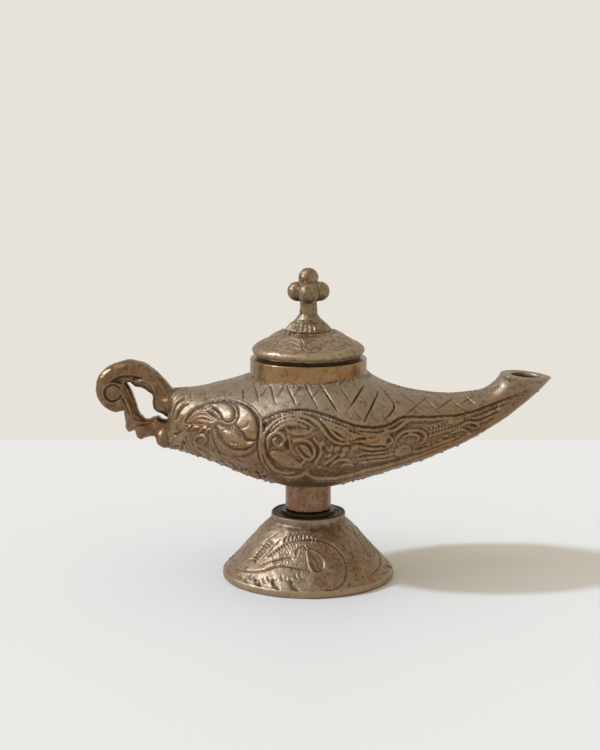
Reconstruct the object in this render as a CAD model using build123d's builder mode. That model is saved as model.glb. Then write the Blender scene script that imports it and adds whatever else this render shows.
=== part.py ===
from build123d import *
import os

# Genie oil lamp of cast brass: a hollow foot, a turned stem, a boat-shaped bowl cast in two halves
# that carry the spout, a turned collar, a scroll handle and a lift-off lid with its finial.
# Millimetres. The origin is the centre of the foot's underside, +Z is up and +X runs to the spout.

# Bowl and spout
spout_reach = 101.3
back_reach = 60.3
bowl_half_width = 38.0
bowl_rise = 54.2
bowl_wall = 2.2
wick_hole_radius = 6.2
wick_hole_depth = 6.0
ornament_height = 0.6
ornament_root = 1.1

# Collar
collar_radius = 24.3
collar_bore_radius = 20.2
collar_seat_drop = 8.0
collar_height = 7.8
collar_edge = 0.5
neck_boss_wall = 2.6
neck_boss_depth = 5.0

# Lid and its locating sleeve
lid_radius = 23.4
lid_rise = 10.0
lid_wall = 1.9
lid_gap = 1.4
sleeve_wall = 1.8
sleeve_depth = 6.2
sleeve_flange = 1.6
sliding_fit = 0.25

# Finial and its nut
finial_height = 26.1
finial_flare_radius = 9.3
finial_neck_radius = 3.4
finial_ball_radius = 4.05
finial_ball_count = 4
finial_stud_radius = 2.0
finial_nut_width = 7.0
finial_nut_height = 3.2

# Stem and its seat
stem_radius = 9.6
stem_height = 12.7
stem_edge = 0.8
stem_seat_depth = 2.0
stem_pad_radius = 13.0
stem_pad_height = 2.8
seat_washer_radius = 11.4
seat_washer_thickness = 2.3

# Foot
foot_radius = 36.2
foot_rim_height = 3.6
foot_rim_edge = 1.5
foot_height = 27.7
foot_floor = 2.8
foot_ceiling_radius = 11.0
foot_sole_width = 3.0
cup_radius = 15.6
cup_wall = 1.6
cup_height = 3.6
cup_step = 0.7
cup_depth = 1.3

# Foot screw
screw_radius = 2.5
screw_depth = 8.0
screw_head_width = 8.0
screw_head_height = 3.5
screw_washer_radius = 6.0
screw_washer_thickness = 1.2
drill_point = 1.0

# Handle
handle_length = 31.7
handle_rise = 12.0
handle_thickness = 9.0
handle_arch_edge = 3.0
handle_gap_edge = 0.8
volute_radius = 4.3
volute_groove = 0.9
volute_groove_depth = 0.8

# Fits shared by all pieces: a brazed or threaded joint, and a plain hole round a shank.
close_fit = 0.05
clearance_fit = 0.3
# Every cut runs this far past the faces that it opens.
overrun = 5.0

# Heights up the lamp. The washer lies in the foot's cup, the stem stands on it and reaches into the
# bowl's pad, and the collar's seat is cut this far below the crown of the bowl's tallest rib.
cup_floor = foot_height - cup_depth
stem_base = cup_floor + seat_washer_thickness
stem_seat_height = stem_base + stem_height
bowl_base_height = stem_seat_height - stem_seat_depth
collar_seat_height = bowl_base_height + bowl_rise - collar_seat_drop

# Each row is one rib of the bowl, from the handle to the mouth: the X and Z of its crown, the X and Z
# of its keel, its half width, the place of its widest point from crown to keel, and how full its
# upper and lower quarters are, where 0.55 is a plain ellipse.
rib_shares = [
    (-0.945, 0.755, -1.000, 0.300, 0.235, 0.50, 0.60, 0.60),
    (-0.796, 0.763, -0.829, 0.257, 0.434, 0.50, 0.58, 0.58),
    (-0.597, 0.805, -0.614, 0.179, 0.684, 0.50, 0.56, 0.56),
    (-0.398, 0.868, -0.398, 0.087, 0.868, 0.51, 0.55, 0.55),
    (-0.166, 0.971, -0.166, 0.015, 0.974, 0.53, 0.55, 0.55),
    (0.040, 1.000, 0.040, 0.000, 1.000, 0.54, 0.55, 0.55),
    (0.178, 0.952, 0.188, 0.050, 0.947, 0.53, 0.55, 0.55),
    (0.296, 0.818, 0.316, 0.119, 0.816, 0.50, 0.55, 0.55),
    (0.415, 0.747, 0.444, 0.190, 0.632, 0.48, 0.55, 0.55),
    (0.533, 0.716, 0.582, 0.288, 0.461, 0.46, 0.55, 0.55),
    (0.642, 0.721, 0.701, 0.391, 0.337, 0.45, 0.55, 0.55),
    (0.721, 0.752, 0.805, 0.513, 0.258, 0.45, 0.55, 0.55),
    (0.762, 0.803, 0.888, 0.635, 0.237, 0.46, 0.55, 0.53),
    (0.782, 0.845, 0.953, 0.742, 0.250, 0.44, 0.56, 0.48),
    (0.790, 0.871, 1.000, 0.840, 0.276, 0.42, 0.58, 0.42),
]
# The main forms of the ornament cast on the bowl's sides. Each is a first edge from tip to tip and a
# second edge back, in the same shares of X and Z as the ribs, laid on the skin from the side.
ornament_shares = [
    # Fan leaf, teardrop, comma lobe, almond leaf and the leaf round it, in the medallion by the handle
    (
        [(-0.842, 0.540), (-0.800, 0.608), (-0.709, 0.660), (-0.650, 0.634), (-0.601, 0.582)],
        [(-0.680, 0.548), (-0.760, 0.548)],
    ),
    (
        [(-0.666, 0.687), (-0.585, 0.712), (-0.515, 0.700), (-0.497, 0.648), (-0.532, 0.601)],
        [(-0.580, 0.612), (-0.620, 0.660)],
    ),
    (
        [(-0.478, 0.718), (-0.393, 0.689), (-0.350, 0.606), (-0.344, 0.496)],
        [(-0.410, 0.495), (-0.482, 0.573), (-0.462, 0.663)],
    ),
    (
        [(-0.613, 0.560), (-0.644, 0.470), (-0.605, 0.385), (-0.513, 0.334), (-0.410, 0.375), (-0.347, 0.464)],
        [(-0.414, 0.462), (-0.489, 0.528)],
    ),
    (
        [(-0.666, 0.518), (-0.687, 0.440), (-0.674, 0.350), (-0.630, 0.278), (-0.540, 0.262)],
        [(-0.615, 0.335), (-0.660, 0.425)],
    ),
    # Band between the medallions
    (
        [(-0.330, 0.640), (-0.300, 0.600), (-0.300, 0.480), (-0.285, 0.345), (-0.225, 0.232)],
        [(-0.262, 0.218), (-0.318, 0.335), (-0.330, 0.480)],
    ),
    # Arc, crescent, curl, curl's leaf and oval curl, in the middle medallion
    (
        [
            (-0.285, 0.545),
            (-0.222, 0.637),
            (-0.097, 0.682),
            (0.017, 0.658),
            (0.066, 0.570),
            (0.112, 0.492),
            (0.166, 0.474),
        ],
        [(0.100, 0.460), (0.046, 0.545), (-0.006, 0.622), (-0.104, 0.645), (-0.200, 0.606)],
    ),
    (
        [(-0.162, 0.588), (-0.061, 0.574), (0.020, 0.589)],
        [(-0.003, 0.543), (-0.067, 0.524), (-0.131, 0.545)],
    ),
    (
        [(-0.270, 0.478), (-0.222, 0.549), (-0.168, 0.500)],
        [(-0.211, 0.440)],
    ),
    (
        [(-0.266, 0.391), (-0.204, 0.410), (-0.121, 0.370), (-0.030, 0.278)],
        [(-0.125, 0.262), (-0.218, 0.313)],
    ),
    (
        [(-0.084, 0.442), (-0.057, 0.489), (0.000, 0.488), (0.028, 0.430)],
        [(0.015, 0.360), (-0.025, 0.345), (-0.067, 0.380)],
    ),
    # Upper leaf, lower leaf and the strokes under them, trailing to the spout
    (
        [(0.058, 0.649), (0.143, 0.592), (0.240, 0.542), (0.330, 0.528)],
        [(0.239, 0.503), (0.174, 0.505), (0.116, 0.545)],
    ),
    (
        [(0.191, 0.474), (0.262, 0.478), (0.326, 0.504)],
        [(0.311, 0.452), (0.267, 0.428), (0.219, 0.446)],
    ),
    (
        [(0.185, 0.325), (0.225, 0.372), (0.290, 0.384), (0.322, 0.345)],
        [(0.290, 0.300), (0.225, 0.292)],
    ),
    # Wave scroll, feather and long leaf, on the spout
    (
        [(0.350, 0.335), (0.350, 0.430), (0.389, 0.515), (0.448, 0.511), (0.477, 0.463)],
        [(0.448, 0.400), (0.412, 0.345)],
    ),
    (
        [(0.492, 0.520), (0.520, 0.563), (0.607, 0.585), (0.620, 0.530)],
        [(0.582, 0.448), (0.514, 0.430)],
    ),
    (
        [(0.655, 0.545), (0.732, 0.598), (0.818, 0.663)],
        [(0.783, 0.584), (0.725, 0.516), (0.680, 0.500)],
    ),
]
# Halfway ribs between the rows keep the skin smooth.
ribs_per_row = 2
# The wick hole's middle in the mouth, from the crown edge to the nose.
wick_hole_share = 0.50


def rib_at(place):
    """The rib at a place counted in rows, on a smooth cubic through the rows on either side."""
    index = min(int(place), len(rib_shares) - 2)
    step = place - index
    start, end = rib_shares[index], rib_shares[index + 1]
    before = rib_shares[index - 1] if index > 0 else [2 * a - b for a, b in zip(start, end)]
    last = index + 2 == len(rib_shares)
    after = [2 * b - a for a, b in zip(start, end)] if last else rib_shares[index + 2]
    rib = []
    for p, a, b, n in zip(before, start, end, after):
        bend = 2 * p - 5 * a + 4 * b - n + step * (3 * (a - b) + n - p)
        rib.append(a + step / 2 * (b - p + step * bend))
    return rib


def bowl_point(x_share, z_share):
    reach = spout_reach if x_share > 0 else back_reach
    return Vector(x_share * reach, 0, bowl_base_height + z_share * bowl_rise)


def rib_ends(rib, inset):
    """A rib's crown and keel, drawn in towards each other by the inset."""
    crown = bowl_point(rib[0], rib[1])
    keel = bowl_point(rib[2], rib[3])
    inward = (keel - crown).normalized() * inset
    return crown + inward, keel - inward


def rib_plane(crown, keel, share):
    """The plane of a rib, across the lamp and up the line from keel to crown."""
    across = Vector(0, 1, 0)
    up = (crown - keel).normalized()
    return Plane(origin=crown + (keel - crown) * share, x_dir=across, z_dir=across.cross(up))


def draw_half_rib(rib, inset):
    """The near half of a rib: level at crown and keel, upright at its side, straight at the seam."""
    crown, keel = rib_ends(rib, inset)
    width = rib[4] * bowl_half_width - inset
    rise = (keel - crown).length * rib[5]
    drop = (keel - crown).length - rise
    upper, lower = rib[6], rib[7]
    Bezier((0, rise), (-width * upper, rise), (-width, rise * upper), (-width, 0))
    Bezier((-width, 0), (-width, -drop * lower), (-width * lower, -drop), (0, -drop))
    Line((0, -drop), (0, rise))


# The bowl is two castings brazed face to face along the seam from the neck to the nose. Each is a
# smooth skin over its half ribs, hollow inside the wall. The oil space stops at a thicker neck under
# the collar and at a pad over the stem, and leaves the mouth as the wick hole.
neck_boss_base = collar_seat_height - neck_boss_depth
mouth_plane = rib_plane(*rib_ends(rib_shares[-1], 0), wick_hole_share)

ribs = [rib_at(k / ribs_per_row) for k in range((len(rib_shares) - 1) * ribs_per_row + 1)]

with BuildPart() as oil_space:
    for rib in ribs[ribs_per_row:-ribs_per_row]:
        with BuildSketch(rib_plane(*rib_ends(rib, bowl_wall), rib[5])):
            with BuildLine():
                draw_half_rib(rib, bowl_wall)
            make_face()
    loft()
    with BuildSketch(Plane.XY.offset(neck_boss_base)):
        Circle(collar_radius + neck_boss_wall)
    extrude(amount=bowl_rise, mode=Mode.SUBTRACT)
    with BuildSketch(Plane.XY.offset(stem_seat_height + stem_pad_height)):
        Circle(stem_pad_radius)
    extrude(amount=-bowl_rise, mode=Mode.SUBTRACT)

# The ornament is cut from a skin that stands out by its height, and keeps a root in the wall.
with BuildPart() as ornament:
    for rib in ribs:
        with BuildSketch(rib_plane(*rib_ends(rib, -ornament_height), rib[5])):
            with BuildLine():
                draw_half_rib(rib, -ornament_height)
            make_face()
    loft()
    with BuildSketch(Plane.XZ.offset(ornament_root)):
        for first_edge, second_edge in ornament_shares:
            with BuildLine():
                there = [bowl_point(*shares) for shares in first_edge]
                back = [bowl_point(*shares) for shares in second_edge]
                Spline([(point.X, point.Z) for point in there])
                Spline([(point.X, point.Z) for point in there[-1:] + back + there[:1]])
            make_face()
    extrude(amount=bowl_half_width, mode=Mode.INTERSECT)
with BuildPart() as ornament_core:
    for rib in ribs:
        with BuildSketch(rib_plane(*rib_ends(rib, ornament_root), rib[5])):
            with BuildLine():
                draw_half_rib(rib, ornament_root)
            make_face()
    loft()

with BuildPart() as bowl_near:
    for rib in ribs:
        with BuildSketch(rib_plane(*rib_ends(rib, 0), rib[5])):
            with BuildLine():
                draw_half_rib(rib, 0)
            make_face()
    loft()
    add(ornament.part - ornament_core.part)
    add(oil_space.part, mode=Mode.SUBTRACT)
    with BuildSketch(Plane.XY.offset(neck_boss_base - overrun)):
        Circle(collar_bore_radius)
    extrude(amount=bowl_rise, mode=Mode.SUBTRACT)
    with BuildSketch(Plane.XY.offset(collar_seat_height)):
        Circle(collar_radius + close_fit)
    extrude(amount=bowl_rise, mode=Mode.SUBTRACT)
    with BuildSketch(Plane.XY.offset(stem_seat_height)):
        Circle(stem_radius + close_fit)
    extrude(amount=-bowl_rise, mode=Mode.SUBTRACT)
    with BuildSketch(mouth_plane.offset(overrun)):
        Circle(wick_hole_radius)
    extrude(amount=-overrun - wick_hole_depth, mode=Mode.SUBTRACT)
bowl_near.part.label = "bowl_near"

with BuildPart() as bowl_far:
    mirror(bowl_near.part, about=Plane.XZ)
bowl_far.part.label = "bowl_far"

# Collar: a turned ring brazed on the neck's flat seat.
collar_top = collar_seat_height + collar_height
with BuildPart() as collar:
    with BuildSketch(Plane.XY.offset(collar_seat_height)):
        Circle(collar_radius)
        Circle(collar_bore_radius, mode=Mode.SUBTRACT)
    extrude(amount=collar_height)
    fillet(collar.faces().sort_by(Axis.Z)[-1].edges(), radius=collar_edge)
collar.part.label = "collar"

# Locating sleeve: its flange stands between lid and collar and its skirt drops into the neck.
lid_base = collar_top + lid_gap
sleeve_radius = collar_bore_radius - sliding_fit
sleeve_bore_radius = sleeve_radius - sleeve_wall
with BuildPart() as lid_sleeve:
    with BuildSketch(Plane.XY.offset(collar_top)):
        Circle(sleeve_radius + sleeve_flange)
    extrude(amount=lid_gap)
    with BuildSketch(Plane.XY.offset(collar_top)):
        Circle(sleeve_radius)
    extrude(amount=-sleeve_depth)
    skirt_end = lid_sleeve.faces().sort_by(Axis.Z)[0]
    chamfer(skirt_end.edges(), length=collar_edge)
    with BuildSketch(Plane.XY.offset(lid_base)):
        Circle(sleeve_bore_radius)
    extrude(amount=-sleeve_depth - lid_gap, mode=Mode.SUBTRACT)
lid_sleeve.part.label = "lid_sleeve"

# Lid cover: a shallow cast dome with a rolled rim, hollow beneath, with a hole for the finial's stud.
# Its outline is given from the rim's foot to the flat top, and its hollow from the rim inwards.
lid_shares = [
    (0.960, 0.000),
    (1.000, 0.190),
    (0.975, 0.330),
    (0.905, 0.450),
    (0.727, 0.680),
    (0.573, 0.905),
    (0.397, 1.000),
]
lid_hollow_shares = [(0.750, 0.300), (0.500, 0.680)]
lid_top = lid_base + lid_rise
nut_seat_height = lid_top - lid_wall
stud_hole_radius = finial_stud_radius + clearance_fit

with BuildPart() as lid_cover:
    with BuildSketch(Plane.XZ):
        with BuildLine():
            outline = [(lid_radius * r, lid_base + lid_rise * z) for r, z in lid_shares]
            hollow = [(lid_radius * r, lid_base + lid_rise * z) for r, z in lid_hollow_shares]
            Spline(outline)
            Polyline(
                outline[-1],
                (stud_hole_radius, lid_top),
                (stud_hole_radius, nut_seat_height),
                (finial_nut_width, nut_seat_height),
                hollow[1],
                hollow[0],
                (sleeve_bore_radius, lid_base),
                outline[0],
            )
        make_face()
    revolve(axis=Axis.Z)
lid_cover.part.label = "lid_cover"

# Finial: a flared base and a slim neck under a cross of balls, with a stud down through the lid.
finial_shares = [
    (1.000, 0.000),
    (1.000, 0.030),
    (0.900, 0.065),
    (0.740, 0.130),
    (0.540, 0.192),
    (0.400, 0.272),
]
neck_share = 0.470
cluster_share = 0.625
cluster_spread_share = 1.16
cluster_height = lid_top + finial_height * cluster_share
top_ball_height = lid_top + finial_height - finial_ball_radius

with BuildPart() as finial:
    with BuildSketch(Plane.XZ):
        with BuildLine():
            flare = [(finial_flare_radius * r, lid_top + finial_height * z) for r, z in finial_shares]
            neck = (finial_neck_radius, lid_top + finial_height * neck_share)
            Spline(flare[1:] + [neck])
            Polyline(
                neck,
                (finial_neck_radius, top_ball_height),
                (0, top_ball_height),
                (0, lid_top),
                flare[0],
                flare[1],
            )
        make_face()
    revolve(axis=Axis.Z)
    with Locations((0, 0, top_ball_height)):
        Sphere(finial_ball_radius)
    with Locations((0, 0, cluster_height)):
        with PolarLocations(finial_ball_radius * cluster_spread_share, finial_ball_count):
            Sphere(finial_ball_radius)
    with BuildSketch(Plane.XY.offset(lid_top)):
        Circle(finial_stud_radius)
    extrude(amount=-lid_wall - finial_nut_height)
finial.part.label = "finial"

with BuildPart() as finial_nut:
    with BuildSketch(Plane.XY.offset(nut_seat_height)):
        RegularPolygon(finial_nut_width / 2, side_count=6, major_radius=False)
        Circle(finial_stud_radius + close_fit, mode=Mode.SUBTRACT)
    extrude(amount=-finial_nut_height)
finial_nut.part.label = "finial_nut"

# Stem: a turned plug brazed up into the bowl's pad, with a blind tapped hole for the foot screw.
with BuildPart() as stem:
    with BuildSketch(Plane.XY.offset(stem_base)):
        Circle(stem_radius)
    extrude(amount=stem_seat_height - stem_base)
    fillet(stem.faces().sort_by(Axis.Z)[0].edges(), radius=stem_edge)
    with BuildSketch(Plane.XY.offset(stem_base)):
        Circle(screw_radius + close_fit)
    extrude(amount=screw_depth + drill_point, mode=Mode.SUBTRACT)
stem.part.label = "stem"

# Seat washer: the dark ring that the stem stands on in the foot's cup.
with BuildPart() as seat_washer:
    with BuildSketch(Plane.XY.offset(cup_floor)):
        Circle(seat_washer_radius)
        Circle(screw_radius + clearance_fit, mode=Mode.SUBTRACT)
    extrude(amount=seat_washer_thickness)
seat_washer.part.label = "seat_washer"

# Foot: a hollow cast cone with a rolled rim and a shallow cup on top. The outline's shares run from
# the rim up to the cup.
foot_cone_shares = [
    (1.000, 0.000),
    (0.739, 0.224),
    (0.568, 0.390),
    (0.397, 0.585),
    (0.236, 0.771),
    (0.085, 0.927),
    (0.000, 1.000),
]
cup_base = foot_height - cup_height
foot_ceiling = cup_floor - foot_floor
screw_hole_radius = screw_radius + clearance_fit

with BuildPart() as foot:
    with BuildSketch(Plane.XZ):
        with BuildLine():
            cone_top_radius = cup_radius + cup_step
            cone = [
                (
                    cone_top_radius + (foot_radius - cone_top_radius) * r,
                    foot_rim_height + (cup_base - foot_rim_height) * z,
                )
                for r, z in foot_cone_shares
            ]
            Spline(cone)
            Polyline(
                cone[-1],
                (cup_radius, cup_base + cup_step),
                (cup_radius, foot_height),
                (cup_radius - cup_wall, foot_height),
                (cup_radius - cup_wall, cup_floor),
                (screw_hole_radius, cup_floor),
                (screw_hole_radius, foot_ceiling),
                (foot_ceiling_radius, foot_ceiling),
                (foot_radius - foot_sole_width, foot_rim_height),
                (foot_radius - foot_sole_width, 0),
                (foot_radius, 0),
                cone[0],
            )
        make_face()
    revolve(axis=Axis.Z)
    rim_edge = foot.edges().filter_by(GeomType.CIRCLE).sort_by(SortBy.RADIUS)[-2:].sort_by(Axis.Z)[-1]
    fillet(rim_edge, radius=foot_rim_edge)
foot.part.label = "foot"

# Foot screw and its washer, driven up from the foot's hollow into the stem.
head_seat = foot_ceiling - screw_washer_thickness
with BuildPart() as foot_screw_washer:
    with BuildSketch(Plane.XY.offset(foot_ceiling)):
        Circle(screw_washer_radius)
        Circle(screw_hole_radius, mode=Mode.SUBTRACT)
    extrude(amount=-screw_washer_thickness)
foot_screw_washer.part.label = "foot_screw_washer"

with BuildPart() as foot_screw:
    with BuildSketch(Plane.XY.offset(head_seat)):
        RegularPolygon(screw_head_width / 2, side_count=6, major_radius=False)
    extrude(amount=-screw_head_height)
    with BuildSketch(Plane.XY.offset(head_seat)):
        Circle(screw_radius)
    extrude(amount=stem_base + screw_depth - head_seat)
foot_screw.part.label = "foot_screw"

# Handle: a C scroll cast in one piece and brazed to the bowl's back by an upper and a lower foot, with
# a slit between them. X shares run from the scroll's back to the bowl. Z shares count from the crown of
# the bowl's end, up to the top of the arch and down to the keel.
arch_shares = [
    (0.871, 0.416),
    (0.729, 0.750),
    (0.596, 0.932),
    (0.442, 1.000),
    (0.297, 0.916),
    (0.129, 0.699),
    (0.032, 0.382),
    (0.000, -0.012),
    (0.025, -0.167),
    (0.101, -0.305),
    (0.237, -0.402),
    (0.372, -0.369),
]
spur_shares = [
    (0.375, -0.523),
    (0.382, -0.678),
    (0.426, -0.750),
    (0.505, -0.713),
    (0.539, -0.851),
    (0.580, -0.880),
    (0.697, -0.823),
    (0.814, -0.795),
    (0.823, -0.921),
]
lower_gap_shares = [
    (0.874, -0.523),
    (0.801, -0.478),
    (0.672, -0.536),
    (0.612, -0.482),
    (0.565, -0.394),
    (0.521, -0.219),
    (0.473, -0.041),
    (0.405, 0.230),
]
upper_gap_shares = [
    (0.454, 0.247),
    (0.490, 0.140),
    (0.528, 0.067),
    (0.599, 0.025),
    (0.678, -0.041),
    (0.744, -0.118),
    (0.748, -0.268),
    (0.779, -0.381),
    (0.877, -0.437),
]
lower_foot_share = 0.545
upper_foot_share = 0.500
volute_shares = (0.233, -0.085)
root_crown, root_keel = rib_ends(rib_shares[0], 0)


def handle_point(shares):
    x_share, z_share = shares
    z_reach = handle_rise if z_share > 0 else root_crown.Z - root_keel.Z
    return (root_crown.X - handle_length * (1 - x_share), root_crown.Z + z_reach * z_share)


def root_point(share):
    point = root_crown + (root_keel - root_crown) * share
    return (point.X, point.Z)


with BuildPart() as handle:
    with BuildSketch(Plane.XZ):
        with BuildLine():
            arch = [root_point(0)] + [handle_point(shares) for shares in arch_shares]
            spurs = [handle_point(shares) for shares in spur_shares]
            lower_gap = [root_point(lower_foot_share)] + [handle_point(s) for s in lower_gap_shares]
            upper_gap = [handle_point(s) for s in upper_gap_shares] + [root_point(upper_foot_share)]
            Spline(arch)
            Polyline([arch[-1]] + spurs + [root_point(1), lower_gap[0]])
            Spline(lower_gap)
            Line(lower_gap[-1], upper_gap[0])
            Spline(upper_gap)
            Line(upper_gap[-1], arch[0])
        make_face()
    extrude(amount=handle_thickness / 2, both=True)
    sides = handle.faces().filter_by(Axis.Y)
    fillet([side.edges().sort_by(SortBy.LENGTH)[-1] for side in sides], radius=handle_arch_edge)
    sides = handle.faces().filter_by(Axis.Y)
    gap_curves = [side.edges().filter_by(GeomType.BSPLINE).sort_by(SortBy.LENGTH)[:-1] for side in sides]
    chamfer([curve for curves in gap_curves for curve in curves], length=handle_gap_edge)
    for side in (1, -1):
        with BuildSketch(Plane.XZ.offset(side * handle_thickness / 2)):
            with Locations(handle_point(volute_shares)):
                Circle(volute_radius)
                Circle(volute_radius - volute_groove, mode=Mode.SUBTRACT)
        extrude(amount=-side * volute_groove_depth, mode=Mode.SUBTRACT)
handle.part.label = "handle"

os.makedirs("parts", exist_ok=True)
for piece in (
    foot,
    foot_screw,
    foot_screw_washer,
    seat_washer,
    stem,
    bowl_near,
    bowl_far,
    collar,
    handle,
    lid_cover,
    lid_sleeve,
    finial,
    finial_nut,
):
    export_step(piece.part, f"parts/{piece.part.label}.step")
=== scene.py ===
"""Genie oil lamp of aged cast brass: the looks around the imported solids.

Shapes are worked out in millimetres and turned to metres when a mesh is made. The ornament is carved
into each skin along paths. A path on the side that the photograph shows is given in its pixels, and
is laid on the skin along the camera's rays.
"""
import math

import bpy
import numpy as np
import openvdb
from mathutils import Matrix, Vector
from mathutils.bvhtree import BVHTree


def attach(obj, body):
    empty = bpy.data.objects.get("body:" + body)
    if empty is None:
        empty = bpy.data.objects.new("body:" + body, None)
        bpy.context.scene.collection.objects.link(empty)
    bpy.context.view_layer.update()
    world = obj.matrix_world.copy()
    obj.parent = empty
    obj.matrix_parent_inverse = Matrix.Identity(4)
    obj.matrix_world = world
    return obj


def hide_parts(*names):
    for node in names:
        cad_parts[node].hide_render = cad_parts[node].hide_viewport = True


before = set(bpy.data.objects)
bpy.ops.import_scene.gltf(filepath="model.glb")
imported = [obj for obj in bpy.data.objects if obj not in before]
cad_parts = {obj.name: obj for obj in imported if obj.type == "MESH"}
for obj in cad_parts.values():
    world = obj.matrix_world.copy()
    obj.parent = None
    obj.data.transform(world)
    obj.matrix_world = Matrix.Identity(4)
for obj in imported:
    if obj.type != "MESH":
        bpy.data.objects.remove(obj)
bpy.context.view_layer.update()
MM = 0.001

# Camera: the photograph's frame is 600 by 750 pixels, taken from a little above the lamp.
frame_width, frame_height = 600, 750
lens_mm, sensor_mm = 85.0, 36.0
focal_pixels = lens_mm / sensor_mm * frame_height
eye = np.array([-3.48, -726.6, 219.0])
pitch = math.radians(10.38)
look = np.array([0.0, math.cos(pitch), -math.sin(pitch)])
rise = np.array([0.0, math.sin(pitch), math.cos(pitch)])


def to_pixels(points):
    """Where points in mm show in the photograph."""
    offset = points - eye
    depth = offset @ look
    return np.stack(
        [
            frame_width / 2 + focal_pixels * offset[:, 0] / depth,
            frame_height / 2 - focal_pixels * (offset @ rise) / depth,
        ],
        -1,
    )


def pixel_ray(x, y):
    """The direction from the eye through a pixel."""
    right = np.array([(x - frame_width / 2) / focal_pixels, 0.0, 0.0])
    ray = look + right - rise * (y - frame_height / 2) / focal_pixels
    return ray / np.linalg.norm(ray)


camera_data = bpy.data.cameras.new("camera")
camera_data.lens = lens_mm
camera_data.sensor_width = sensor_mm
camera_data.clip_start = 0.05
camera_data.clip_end = 30
camera = bpy.data.objects.new("camera", camera_data)
camera.location = eye * MM
camera.rotation_euler = (math.radians(90) - pitch, 0, 0)
bpy.context.scene.collection.objects.link(camera)
bpy.context.scene.camera = camera


# Colours and nodes


def linear(hex_colour):
    """An sRGB hex colour as linear RGBA."""
    shares = [int(hex_colour[k : k + 2], 16) / 255 for k in (1, 3, 5)]
    return [s / 12.92 if s <= 0.04045 else ((s + 0.055) / 1.055) ** 2.4 for s in shares] + [1]


def add_node(tree, kind, inputs=None, **settings):
    """Adds a node; an input given a socket is linked, and any other value is set on the node."""
    node = tree.nodes.new(kind)
    for name, value in settings.items():
        setattr(node, name, value)
    for name, value in (inputs or {}).items():
        if isinstance(value, bpy.types.NodeSocket):
            tree.links.new(value, node.inputs[name])
        else:
            node.inputs[name].default_value = value
    return node


def new_material(name):
    """A node material with nothing in its tree yet, and that tree."""
    material = bpy.data.materials.new(name)
    material.use_nodes = True
    material.node_tree.nodes.clear()
    return material, material.node_tree


# Studio: a pale table whose far edge stands where the photograph's does, under a pale wall's light.
wall_colour = "#E7E3DA"
room_light = "#D6CEBE"
table_colour = "#E6E4DE"
table_edge_y = 263.0
table_reach = 2500.0
sun_colour = "#D2E2FF"

# Each sun's name, strength, width in degrees and where it shines from.
suns = [
    ("window_light", 2.5, 5, (-1.0, -0.11, 0.80)),
    ("skylight", 0.36, 30, (-0.42, -0.24, 0.83)),
]


def build_table():
    """The plain table top, painted satin white."""
    mesh = bpy.data.meshes.new("table_top")
    corners = [
        (-table_reach, -table_reach),
        (table_reach, -table_reach),
        (table_reach, table_edge_y),
        (-table_reach, table_edge_y),
    ]
    mesh.from_pydata([(x * MM, y * MM, 0) for x, y in corners], [], [(0, 1, 2, 3)])
    table = bpy.data.objects.new("table_top", mesh)
    bpy.context.scene.collection.objects.link(table)
    material, tree = new_material("satin_white_table")
    shader = add_node(
        tree,
        "ShaderNodeBsdfPrincipled",
        {"Base Color": linear(table_colour), "Roughness": 0.55, "Specular IOR Level": 0.25},
    )
    add_node(tree, "ShaderNodeOutputMaterial", {"Surface": shader.outputs["BSDF"]})
    mesh.materials.append(material)


def build_light():
    """The wall's pale light all round, a window's light from the left and the sky's from above it."""
    world = bpy.data.worlds.new("pale_wall")
    bpy.context.scene.world = world
    world.use_nodes = True
    tree = world.node_tree
    tree.nodes.clear()
    path = add_node(tree, "ShaderNodeLightPath")
    seen = add_node(
        tree,
        "ShaderNodeMath",
        {0: path.outputs["Is Camera Ray"], 1: path.outputs["Is Glossy Ray"]},
        operation="MAXIMUM",
    )
    shown = add_node(
        tree,
        "ShaderNodeMath",
        {0: seen.outputs[0], 1: path.outputs["Is Transmission Ray"]},
        operation="MAXIMUM",
    )
    light = add_node(
        tree,
        "ShaderNodeMix",
        {0: shown.outputs[0], 6: linear(room_light), 7: linear(wall_colour)},
        data_type="RGBA",
    )
    background = add_node(tree, "ShaderNodeBackground", {"Color": light.outputs[2]})
    add_node(tree, "ShaderNodeOutputWorld", {"Surface": background.outputs["Background"]})

    for name, strength, width, direction in suns:
        sun = bpy.data.lights.new(name, "SUN")
        sun.energy = strength
        sun.angle = math.radians(width)
        sun.color = linear(sun_colour)[:3]
        lamp = bpy.data.objects.new(name, sun)
        lamp.rotation_euler = Vector(direction).to_track_quat("Z", "Y").to_euler()
        bpy.context.scene.collection.objects.link(lamp)


build_table()
build_light()


# Finishes, with the widths of what shows in the cast skin in mm
blotch_mm, cloud_mm, stain_mm, shine_mm, speck_mm, pit_spacing_mm = 16, 5, 2.2, 1.1, 0.7, 1.5
grit_depth_mm = 0.14


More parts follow.
